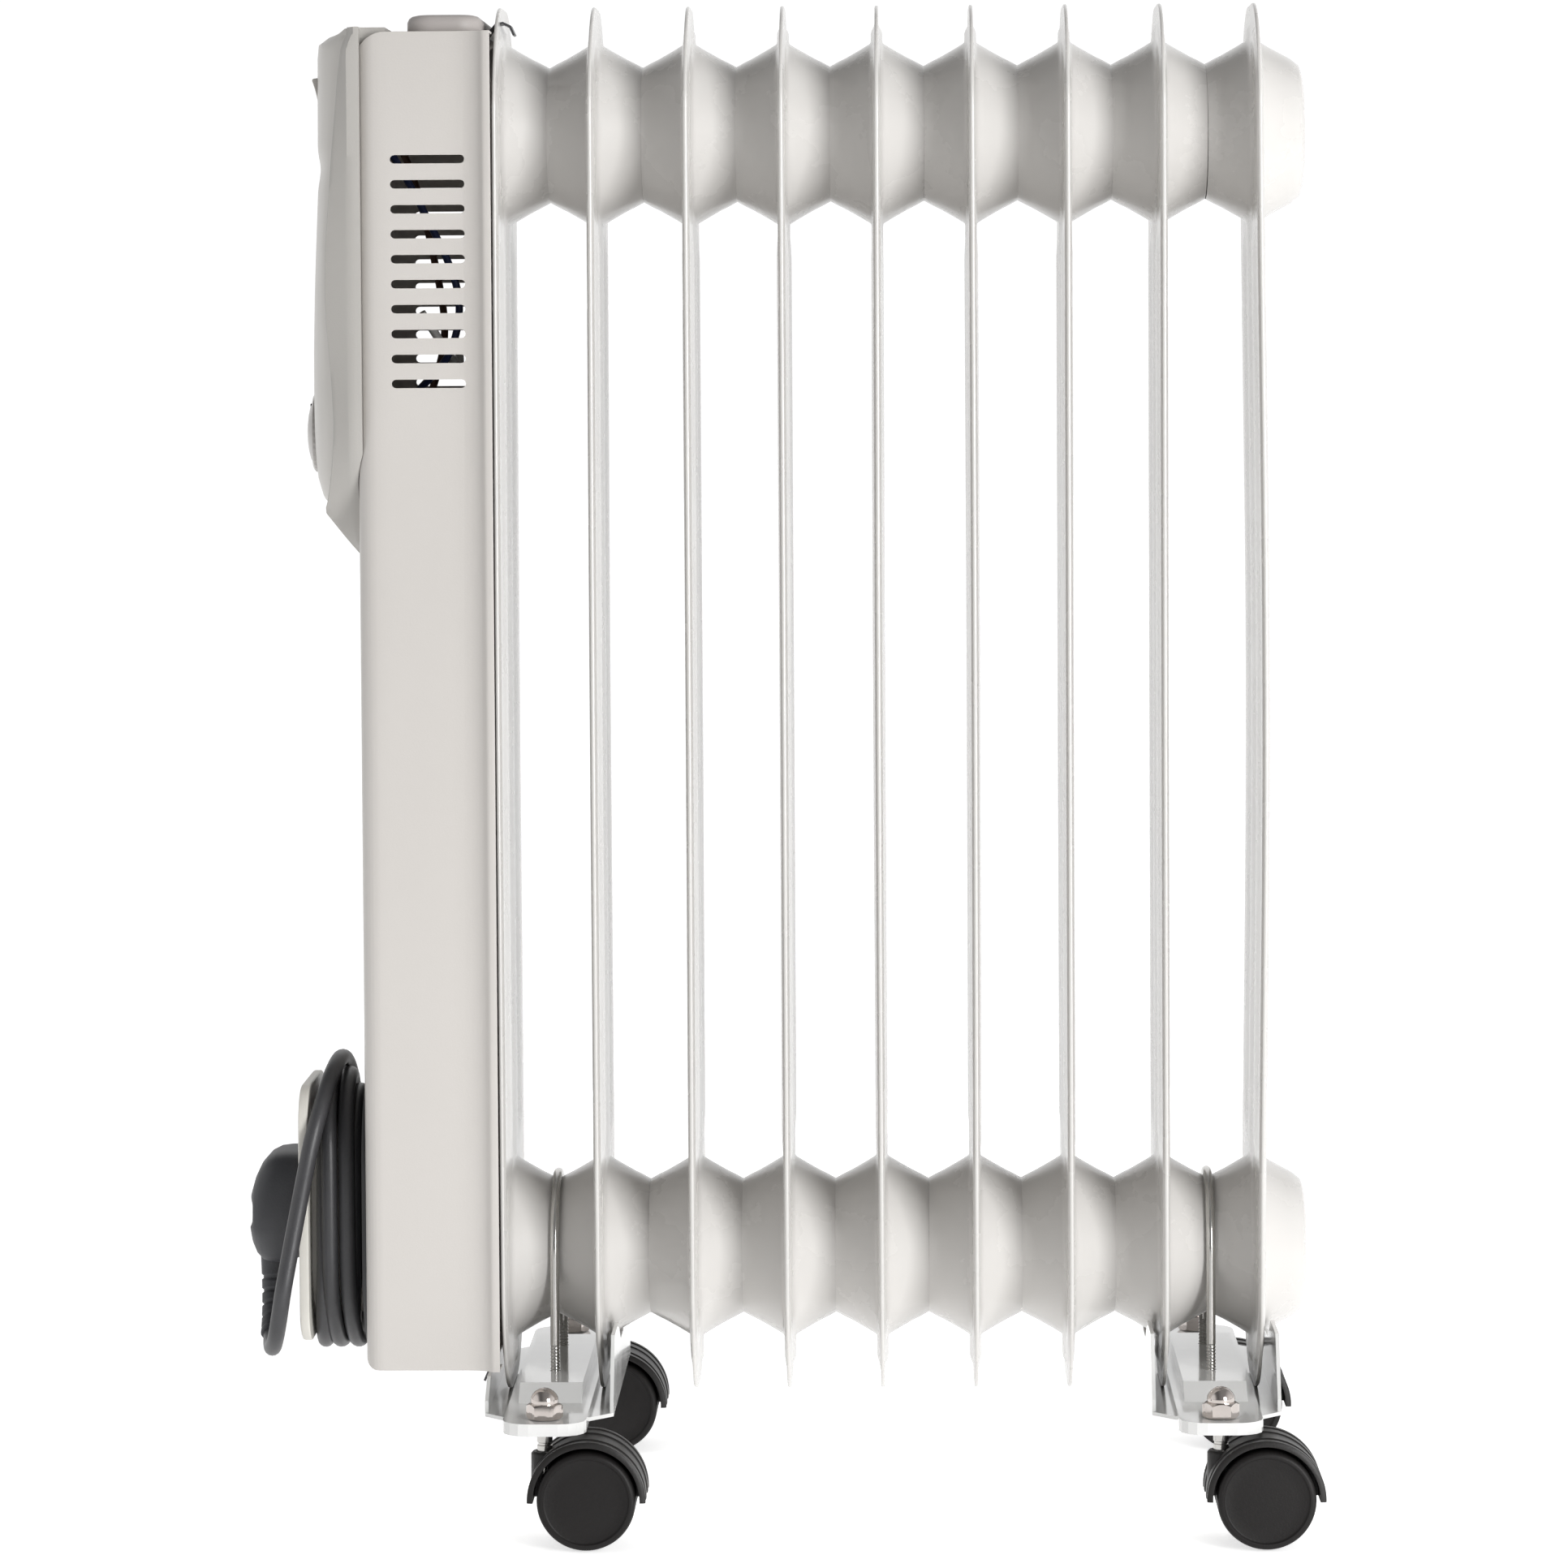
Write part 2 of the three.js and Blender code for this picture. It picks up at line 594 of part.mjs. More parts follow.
/** The flange behind the winding. */
function wrapBase() {
  const shape = wrapOutline(WRAP_OUTER_RADIUS + 2);
  const flange = prism("x", shape, WRAP_BASE_FRONT, WRAP_BASE_BACK, { arcs: 8 });
  return cut(flange, bar("x", [0, GLAND_Y, GLAND_Z], 4, -230, -205));
}

/** The outer shape of the cord wound on the hub. */
function cordCoil() {
  const [front, back] = [WRAP_FRONT + WRAP_PLATE + GAP, WRAP_BASE_FRONT - GAP];
  const outer = prism("x", wrapOutline(WRAP_OUTER_RADIUS), front, back, { chamfer: 2.5, arcs: 8 });
  const glandRoom = box([-225.6, 20, GLAND_Z - 6], [back + 1, GLAND_Y + 4.4, GLAND_TOP + GAP]);
  const inner = prism("x", wrapOutline(WRAP_INNER_RADIUS), front - 1, back + 1, { arcs: 8 });
  return cut(outer, inner, glandRoom);
}

/** The elbow that turns the lead upwards, beside the hub, where it leaves the housing. */
function cordGland() {
  const [low, inner, outer] = [GLAND_Z - 5, GLAND_Y - 3.5, GLAND_Y + 3.8];
  const block = box([-225, inner, low], [WRAP_BASE_FRONT - GAP, outer, GLAND_Z + 8]);
  const stub = bar("x", [0, GLAND_Y, GLAND_Z], 3.4, WRAP_BASE_FRONT - 1, -208, 8);
  const sleeve = turned("z", [-221.2, GLAND_Y, GLAND_Z], [[0, 0], [0, 3.7], [24, 3.5], [24, 0]], 8);
  return join(block, stub, sleeve);
}

/** The stretch of lead from the winding, past the plate's edge and under it, to the plug. */
function cordTail() {
  const reach = WRAP_OUTER_RADIUS + CORD_RADIUS + 0.5;
  const points = [];
  for (const angle of [78, 100, 122, 144, 166]) {
    const turn = (angle * Math.PI) / 180;
    const z = WRAP_Z + WRAP_STRAIGHT / 2 + reach * Math.sin(turn);
    points.push([-229 - (angle - 78) * 0.03, reach * Math.cos(turn), z]);
  }
  points.push([-234.5, -43.2, 135], [-241, -44.2, 115], [-248, -45.6, 95], [-251.5, -45.4, 84]);
  points.push([-254.5, -41, 72.5], [-257, -32, 65.6], [-258.8, -21, 64.6], [-259.6, -9, 70.8]);
  return rod(points, CORD_RADIUS, 26);
}

/** The moulded plug, standing with its pins in the wrap's plate. */
function mainsPlug() {
  const side = outline([
    [PLUG_FACE, 101], [PLUG_FACE, 146], [-258, 145.6], [-263, 141.5],
    [-266.6, 131], [-268, 119], [-266.6, 106], [-263.4, 99.6], [-254.5, 98.8],
  ]);
  const body = prism("y", side, PLUG_Y - 24, PLUG_Y + 24, { chamfer: 4, slope: 2 });
  return join(body, ...pins(0));
}

/** The flexible sleeve that leads the cord out of the plug, bent towards the strand it comes from. */
function plugRelief() {
  return rod([[-259, PLUG_Y, 98], [-259, 5.4, 90], [-259.3, 0.8, 81], [-259.7, -6.2, 73]], 4.4, 8, 10);
}

piece("cord_wrap_base", wrapBase(), "blackPlastic");
piece("cord_wrap", cordWrap(), "housingPaint");
piece("cord_gland", cordGland(), "blackPlastic");
piece("cord_coil", cordCoil(), "cordBlack");
piece("cord_tail", cordTail(), "cordBlack");
piece("mains_plug", mainsPlug(), "cordBlack");
piece("plug_strain_relief", plugRelief(), "cordBlack");

// ---- pieces inside the housing ----
piece("terminal_block", box([-205, 30, 300], [-190, 58, 340]), "panelPlastic");
piece("tilt_switch", box([-206, -52, 160], [-186, -24, 196]), "blackPlastic");

// ---- brackets and U-bolts ----
const upright = (x) => (points) => points.map(([u, v]) => [x + u, v]);

/** One pressed bracket: a raised floor, a gutter for a fin on each side, side walls and end tongues. */
function bracket(x, leftTop) {
  const at = upright(x);
  const [floor, low, sheet] = [BRACKET_FLOOR, BRACKET_LOW, BRACKET_SHEET];
  const [half, wide, long] = [BRACKET_HALF_FLOOR, BRACKET_HALF_WIDTH, BRACKET_HALF_LENGTH];
  const tongue = prism("z", roundedRect(x, 0, half, long, 11), low, floor);
  const hollow = prism("z", roundedRect(x, 0, half - sheet, long - sheet, 9.5), low - 1, floor - sheet);
  const trough = BRACKET_TROUGH_HALF;
  const plan = outline(at([
    [wide, -trough], [wide, trough], [half - sheet, trough + 12], [-half + sheet, trough + 12],
    [-wide, trough], [-wide, -trough], [-half + sheet, -trough - 12], [half - sheet, -trough - 12],
  ]));
  const gutter = prism("z", plan, GUTTER - sheet, GUTTER);
  const middle = box([x - half + sheet, -long, GUTTER - 2 * sheet], [x + half - sheet, long, GUTTER + 1]);
  const wall = (side, top) => {
    const clip = 14;
    const shape = outline([
      [-trough, GUTTER - sheet], [trough, GUTTER - sheet], [trough, GUTTER + 5],
      [trough - clip, top], [-trough + clip, top], [-trough, GUTTER + 5],
    ]);
    const outer = x + side * wide;
    const inner = outer - side * sheet;
    return prism("x", shape, Math.min(outer, inner), Math.max(outer, inner));
  };
  const saddleShape = (top, end) => outline([
    [-end - 12, low - 1], [-end - 12, floor - (SADDLE_TOP - top)], [-end, top],
    [end, top], [end + 12, floor - (SADDLE_TOP - top)], [end + 12, low - 1],
  ]);
  const [saddleFrom, saddleTo] = [x - SADDLE_HALF_WIDTH, x + SADDLE_HALF_WIDTH];
  const saddle = cut(
    prism("x", saddleShape(SADDLE_TOP, SADDLE_HALF_LENGTH), saddleFrom, saddleTo),
    box([x - half, -long, low - 2], [x + half, long, floor - sheet]),
  );
  const belowSaddle = prism(
    "x",
    saddleShape(SADDLE_TOP - sheet, SADDLE_HALF_LENGTH - 1),
    saddleFrom + sheet,
    saddleTo - sheet,
  );
  const walls = [wall(1, BRACKET_WALL_TOP), wall(-1, leftTop)];
  const legHoles = [-LEG_Y, LEG_Y].map((y) => bar("z", [x, y, 0], ROD_RADIUS + GAP, 40, 62, 8));
  const stemHoles = [-CASTER_Y, CASTER_Y].map((y) => bar("z", [x, y, 0], STEM_RADIUS + GAP, 40, 60, 8));
  const collars = bar("x", [x, 0, HEADER_LOW], COLLAR_RADIUS + 2, -wide - 1, wide + 1);
  const pressed = join(cut(tongue, hollow), cut(gutter, middle), saddle, ...walls);
  return cut(pressed, belowSaddle, collars, ...legHoles, ...stemHoles);
}

/** The threaded rod bent over the valley between two collars. */
function uBolt(x) {
  const points = [[x, -LEG_Y, 36], [x, -LEG_Y, 60], [x, -LEG_Y, HEADER_LOW - 12]];
  for (let step = 0; step <= 6; step++) {
    const angle = Math.PI - (step * Math.PI) / 6;
    points.push([x, LEG_Y * Math.cos(angle), HEADER_LOW + LEG_Y * Math.sin(angle)]);
  }
  points.push([x, LEG_Y, HEADER_LOW - 12], [x, LEG_Y, 60], [x, LEG_Y, 36]);
  return rod(points, ROD_RADIUS, 22);
}

/** A wing nut under a bracket. */
function wingNut(x, y) {
  const top = SADDLE_TOP - BRACKET_SHEET - GAP;
  const bore = ROD_RADIUS + GAP;
  const hub = turned("z", [x, y, top], [[0, bore], [0, 6], [-7, 4.6], [-7, bore], [0, bore]], 8);
  const wings = [-1, 1].map((side) => {
    const wing = [[4.3, -5.5], [12, -9.5], [13.5, -7], [9, -1.6], [4.3, -1]];
    const shape = outline(wing.map(([u, v]) => [y + side * u, top + v]));
    return prism("x", shape, x - 1, x + 1);
  });
  return join(hub, ...wings);
}

const bracketX = [-1, 1].map((side) => (side * (FIN_COUNT - 2) * FIN_PITCH) / 2);
piece("bracket_left", bracket(bracketX[0], 60), "bracketPaint");
piece("bracket_right", bracket(bracketX[1], BRACKET_WALL_TOP), "bracketPaint");
piece("u_bolt_left", uBolt(bracketX[0]), "plated");
piece("u_bolt_right", uBolt(bracketX[1]), "plated");

// ---- casters ----
/** The steel pin of a caster, with its shoulder under the bracket. */
function stem(x, y) {
  const shoulder = BRACKET_FLOOR - BRACKET_SHEET - GAP;
  return turned("z", [x, y, 0], [
    [24, 0], [24, STEM_RADIUS], [shoulder - 2.5, STEM_RADIUS], [shoulder - 2.5, 6],
    [shoulder, 6], [shoulder, STEM_RADIUS], [59.5, STEM_RADIUS], [59.5, 0],
  ], 8);
}

/** The closed nut on a caster's pin. */
function acornNut(x, y) {
  const base = BRACKET_FLOOR + GAP;
  const hexagon = new THREE.Shape();
  for (let corner = 0; corner < 6; corner++) {
    const angle = (corner * Math.PI) / 3;
    const [u, v] = [x + 7.5 * Math.cos(angle), y + 7.5 * Math.sin(angle)];
    if (corner === 0) hexagon.moveTo(u, v);
    else hexagon.lineTo(u, v);
  }
  const hex = prism("z", hexagon, base, base + 6, { chamfer: 0.8 });
  const dome = turned("z", [x, y, base], [[5, 0], [5, 5.6], [9, 5.2], [11.4, 3.4], [12.5, 0]], 8);
  const bore = bar("z", [x, y, base], STEM_RADIUS + 0.2, -1, 9.2, 8);
  return cut(join(hex, dome), bore);
}

/** The caster's plastic body: neck, web, axle and the cover over both wheels. */
function hood(x, y) {
  const axle = [x + CASTER_TRAIL, y, WHEEL_RADIUS];
  const cover = turned("y", axle, [
    [-17.5, HOOD_RADIUS - 2.4], [-17.5, HOOD_RADIUS], [17.5, HOOD_RADIUS],
    [17.5, HOOD_RADIUS - 2.4], [-17.5, HOOD_RADIUS - 2.4],
  ], WHEEL_SIDES);
  const web = bar("y", axle, HOOD_RADIUS - 1, -3, 3, WHEEL_SIDES);
  const below = box([x - 20, y - 30, -10], [x + 60, y + 30, WHEEL_RADIUS - 1]);
  const keel = bar("y", axle, 9, -3, 3, 8);
  const pin = bar("y", axle, 2.6, -16.4, 16.4, 8);
  const neck = bar("z", [x, y, 0], 5.7, 22.3, 37.5);
  const roomRadius = HOOD_RADIUS - 2.4;
  const room = [[-25, -3.3], [3.3, 25]].map(([from, to]) => (
    bar("y", axle, roomRadius, from, to, WHEEL_SIDES)
  ));
  const shell = cut(join(cut(join(cover, web), below), neck), ...room);
  return cut(join(shell, keel, pin), bar("z", [x, y, 0], STEM_RADIUS + GAP, 23.6, 60, 8));
}

/** One wheel disc on the given side of the web. */
function wheel(x, y, side) {
  const tread = WHEEL_RADIUS / Math.cos(Math.PI / WHEEL_SIDES); // its flats touch the floor
  const profile = [
    [WHEEL_INNER, 2.9], [WHEEL_INNER, 18.8], [WHEEL_INNER + 1.4, tread],
    [WHEEL_OUTER - 2, tread], [WHEEL_OUTER, 18.4], [WHEEL_OUTER, 0],
    [WHEEL_OUTER - 2.6, 0], [WHEEL_OUTER - 2.6, 2.9], [WHEEL_INNER, 2.9],
  ];
  const placed = profile.map(([along, radius]) => [side * along, radius]);
  return turned("y", [x + CASTER_TRAIL, y, WHEEL_RADIUS], placed, WHEEL_SIDES);
}

const corners = [[0, -1], [1, -1], [0, 1], [1, 1]];
corners.forEach(([end, side], i) => {
  const [x, y, number] = [bracketX[end], side * CASTER_Y, i + 1];
  piece("wing_nut_" + number, wingNut(x, side * LEG_Y), "plated");
  piece("caster_stem_" + number, stem(x, y), "plated");
  piece("acorn_nut_" + number, acornNut(x, y), "nickel");
  piece("caster_hood_" + number, hood(x, y), "blackPlastic");
  piece("caster_wheel_" + number + "a", wheel(x, y, -1), "blackPlastic");
  piece("caster_wheel_" + number + "b", wheel(x, y, 1), "blackPlastic");
});

export default heater;
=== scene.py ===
"""Oil filled radiator heater on casters, with its mains lead wound on the wrap and the plug parked."""

from math import atan2, cos, hypot, pi, radians, sin, sqrt

import bmesh
import bpy
import numpy as np
from mathutils import Matrix, Vector


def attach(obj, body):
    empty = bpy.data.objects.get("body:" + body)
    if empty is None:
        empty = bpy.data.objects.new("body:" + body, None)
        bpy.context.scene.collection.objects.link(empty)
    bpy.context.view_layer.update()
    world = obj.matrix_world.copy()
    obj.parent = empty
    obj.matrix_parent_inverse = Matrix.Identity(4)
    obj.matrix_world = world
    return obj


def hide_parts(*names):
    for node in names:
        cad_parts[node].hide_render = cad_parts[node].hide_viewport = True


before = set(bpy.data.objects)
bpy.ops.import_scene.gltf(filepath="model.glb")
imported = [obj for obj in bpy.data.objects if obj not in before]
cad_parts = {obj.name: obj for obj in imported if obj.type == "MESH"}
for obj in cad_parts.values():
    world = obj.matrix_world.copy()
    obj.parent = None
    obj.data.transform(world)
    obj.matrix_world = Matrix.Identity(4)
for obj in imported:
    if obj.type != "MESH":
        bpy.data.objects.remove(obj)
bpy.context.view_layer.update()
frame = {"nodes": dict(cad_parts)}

# ---------------------------------------------------------------- dimensions, in millimetres
OFFSET = 32.6  # the stack's shift along X in the row frame
FIN_COUNT = 9
FIN_PITCH = 39.2
FIN_LOW, FIN_HIGH = 47.5, 626.5
FIN_HALF = 60.0
FIN_CORNER = 48.0
RIM_HALF = 0.7
HEADER_LOW, HEADER_HIGH = 105.0, 574.0
CHANNEL_Y = (-34.0, 0.0, 34.0)
BRACKET_X = (-137.2, 137.2)
CASTER_Y = 104.5
CASTER_TRAIL = 17.5
WRAP_Z = 122.0
WRAP_HALF_STRAIGHT = 20.5
CORD_D = 7.0
CAMERA_PLACE = (8.5, -2416, 485.4)
CAMERA_LENS, CAMERA_SENSOR, CAMERA_SHIFT = 131.8, 36, -0.1
CAMERA_TURN, CAMERA_PITCH, CAMERA_ROLL = 1.155, 90 - 2.807, -0.329  # degrees


def place(p):
    """A point in the stack's millimetres as row-frame metres."""
    return ((p[0] + OFFSET) / 1000, p[1] / 1000, p[2] / 1000)


# ---------------------------------------------------------------- camera
def add_camera():
    data = bpy.data.cameras.new("camera")
    data.lens = CAMERA_LENS
    data.sensor_width = CAMERA_SENSOR
    data.shift_y = CAMERA_SHIFT
    data.clip_end = 50
    camera = bpy.data.objects.new("camera", data)
    bpy.context.collection.objects.link(camera)
    turn = Matrix.Rotation(radians(CAMERA_TURN), 4, "Z")
    pitch = Matrix.Rotation(radians(CAMERA_PITCH), 4, "X")
    roll = Matrix.Rotation(radians(CAMERA_ROLL), 4, "Z")
    camera.matrix_world = Matrix.Translation(place(CAMERA_PLACE)) @ turn @ pitch @ roll
    bpy.context.scene.camera = camera


add_camera()


# ---------------------------------------------------------------- mesh helpers
def merge(*parts):
    """Several (vertices, faces) as one."""
    verts, faces = [], []
    for part_verts, part_faces in parts:
        base = len(verts)
        verts.extend(part_verts)
        faces.extend([tuple(base + i for i in face) for face in part_faces])
    return verts, faces


def raw_object(name, part, sharp=35.0):
    """An object from (vertices, faces) in the stack's millimetres."""
    verts, faces = part
    mesh = bpy.data.meshes.new(name)
    mesh.from_pydata([place(v) for v in verts], [], faces)
    mesh.validate()
    obj = bpy.data.objects.new(name, mesh)
    bpy.context.collection.objects.link(obj)
    bm = bmesh.new()
    bm.from_mesh(mesh)
    bmesh.ops.remove_doubles(bm, verts=bm.verts, dist=1e-6)
    bmesh.ops.recalc_face_normals(bm, faces=bm.faces)
    bm.to_mesh(mesh)
    bm.free()
    smooth(obj, sharp)
    return obj


def smooth(obj, sharp=35.0):
    for polygon in obj.data.polygons:
        polygon.use_smooth = True
    obj.data.set_sharp_from_angle(angle=radians(sharp))


def bake(obj, sharp=35.0):
    """Applies an object's modifiers."""
    graph = bpy.context.evaluated_depsgraph_get()
    mesh = bpy.data.meshes.new_from_object(obj.evaluated_get(graph))
    old = obj.data
    obj.modifiers.clear()
    obj.data = mesh
    bpy.data.meshes.remove(old)
    smooth(obj, sharp)
    return obj


def combine(obj, others, operation="DIFFERENCE", sharp=35.0):
    """Boolean of obj with the others, which are used up."""
    for other in others:
        modifier = obj.modifiers.new("cut", "BOOLEAN")
        modifier.operation = operation
        modifier.solver = "EXACT"
        modifier.object = other
        bpy.context.view_layer.update()
        bake(obj, sharp)
    for other in others:
        mesh = other.data
        bpy.data.objects.remove(other)
        bpy.data.meshes.remove(mesh)
    return obj


def round_edges(obj, width, segments=3, angle=38.0, sharp=50.0):
    """Rounds the edges that are sharper than an angle, by a width in millimetres."""
    modifier = obj.modifiers.new("round", "BEVEL")
    modifier.width = width / 1000
    modifier.segments = segments
    modifier.limit_method = "ANGLE"
    modifier.angle_limit = radians(angle)
    modifier.harden_normals = False
    bpy.context.view_layer.update()
    return bake(obj, sharp)


def finish_piece(obj, material, body, *nodes):
    """Gives a piece its material, its body and the CAD nodes that it stands for."""
    obj.data.materials.clear()
    obj.data.materials.append(material)
    if nodes:
        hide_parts(*nodes)
    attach(obj, body)
    return obj


def loft(rings, closed=True, caps=True):
    """Faces through rings of as many points each."""
    count = len(rings[0])
    verts = [p for ring in rings for p in ring]
    faces = []
    for level in range(len(rings) - 1):
        for i in range(count if closed else count - 1):
            a, b = level * count + i, level * count + (i + 1) % count
            faces.append((a, b, b + count, a + count))
    if caps:
        faces.append(tuple(reversed(range(count))))
        faces.append(tuple(range(len(verts) - count, len(verts))))
    return verts, faces


def axes_of(axis):
    """The two directions across an axis, and the axis itself."""
    return {
        "x": (Vector((0, 1, 0)), Vector((0, 0, 1)), Vector((1, 0, 0))),
        "y": (Vector((1, 0, 0)), Vector((0, 0, 1)), Vector((0, 1, 0))),
        "z": (Vector((1, 0, 0)), Vector((0, 1, 0)), Vector((0, 0, 1))),
    }[axis]


def turned(axis, centre, profile, sides=64):
    """A body of revolution from (along, radius) points; it ends on the axis or closes on itself."""
    u, v, w = axes_of(axis)
    centre = Vector(centre)
    rings = []
    for along, radius in profile:
        radius = max(radius, 0.001)
        ring = [centre + w * along + (u * cos(a) + v * sin(a)) * radius
                for a in (2 * pi * k / sides for k in range(sides))]
        rings.append([tuple(p) for p in ring])
    return loft(rings, caps=profile[0] != profile[-1])


def prism(axis, outline, start, end):
    """An outline of (u, v) points extruded along an axis."""
    u, v, w = axes_of(axis)
    rings = [[tuple(u * a + v * b + w * at) for a, b in outline] for at in (start, end)]
    return loft(rings)


def box(lo, hi):
    outline = [(lo[0], lo[1]), (hi[0], lo[1]), (hi[0], hi[1]), (lo[0], hi[1])]
    return prism("z", outline, lo[2], hi[2])


def arc(cu, cv, radius, start, end, steps):
    angles = [radians(start + (end - start) * k / steps) for k in range(steps + 1)]
    return [(cu + radius * cos(a), cv + radius * sin(a)) for a in angles]


def rounded_rect(cu, cv, half_u, half_v, radius, steps=8):
    right, top = half_u - radius, half_v - radius
    return (arc(cu + right, cv + top, radius, 0, 90, steps)
        + arc(cu - right, cv + top, radius, 90, 180, steps)
            + arc(cu - right, cv - top, radius, 180, 270, steps)
        + arc(cu + right, cv - top, radius, 270, 360, steps))


def obround(cu, cv, half_u, half_v, steps=12):
    if half_v > half_u:
        reach = half_v - half_u
        return arc(cu, cv + reach, half_u, 0, 180, steps) + arc(cu, cv - reach, half_u, 180, 360, steps)
    reach = half_u - half_v
    return arc(cu + reach, cv, half_v, -90, 90, steps) + arc(cu - reach, cv, half_v, 90, 270, steps)


def smooth_path(points, count):
    """Points evenly spaced along a centripetal Catmull-Rom curve."""
    pts = [Vector(p) for p in points]
    pts = [pts[0] * 2 - pts[1]] + pts + [pts[-1] * 2 - pts[-2]]
    dense = []
    for i in range(1, len(pts) - 2):
        p0, p1, p2, p3 = pts[i - 1:i + 3]
        t0 = 0.0
        t1 = t0 + max((p1 - p0).length, 1e-6) ** 0.5
        t2 = t1 + max((p2 - p1).length, 1e-6) ** 0.5
        t3 = t2 + max((p3 - p2).length, 1e-6) ** 0.5
        for k in range(12):
            t = t1 + (t2 - t1) * k / 12
            a1 = p0 * ((t1 - t) / (t1 - t0)) + p1 * ((t - t0) / (t1 - t0))
            a2 = p1 * ((t2 - t) / (t2 - t1)) + p2 * ((t - t1) / (t2 - t1))
            a3 = p2 * ((t3 - t) / (t3 - t2)) + p3 * ((t - t2) / (t3 - t2))
            b1 = a1 * ((t2 - t) / (t2 - t0)) + a2 * ((t - t0) / (t2 - t0))
            b2 = a2 * ((t3 - t) / (t3 - t1)) + a3 * ((t - t1) / (t3 - t1))
            dense.append(b1 * ((t2 - t) / (t2 - t1)) + b2 * ((t - t1) / (t2 - t1)))
    dense.append(pts[-2])
    lengths = [0.0]
    for a, b in zip(dense, dense[1:]):
        lengths.append(lengths[-1] + (b - a).length)
    spaced, at = [], 0
    for k in range(count + 1):
        wanted = lengths[-1] * k / count
        while at < len(lengths) - 2 and lengths[at + 1] < wanted:
            at += 1
        share = (wanted - lengths[at]) / max(lengths[at + 1] - lengths[at], 1e-9)
        spaced.append(dense[at].lerp(dense[at + 1], min(share, 1.0)))
    return spaced


def sweep(path, radius, sides=16):
    """A tube along a path; radius is a number or a function of the point's number."""
    path = [Vector(p) for p in path]
    normal = None
    rings = []
    for i, p in enumerate(path):
        ahead = path[min(i + 1, len(path) - 1)] - path[max(i - 1, 0)]
        ahead.normalize()
        if normal is None:
            normal = ahead.orthogonal().normalized()
        normal = (normal - ahead * normal.dot(ahead)).normalized()
        across = ahead.cross(normal)
        r = radius(i) if callable(radius) else radius
        rings.append([tuple(p + (normal * cos(a) + across * sin(a)) * r)
                      for a in (2 * pi * k / sides for k in range(sides))])
    return loft(rings)


def table_value(rows, at):
    """The value at a place in rows of (place, value), on straight lines between the rows."""
    if at <= rows[0][0]:
        return rows[0][1]
    for (low, start), (high, end) in zip(rows, rows[1:]):
        if at <= high:
            return start + (end - start) * (at - low) / (high - low)
    return rows[-1][1]


def ramp(low, high, value):
    """A smooth rise from 0 at low to 1 at high."""
    t = min(max((value - low) / (high - low), 0.0), 1.0)
    return t * t * (3 - 2 * t)


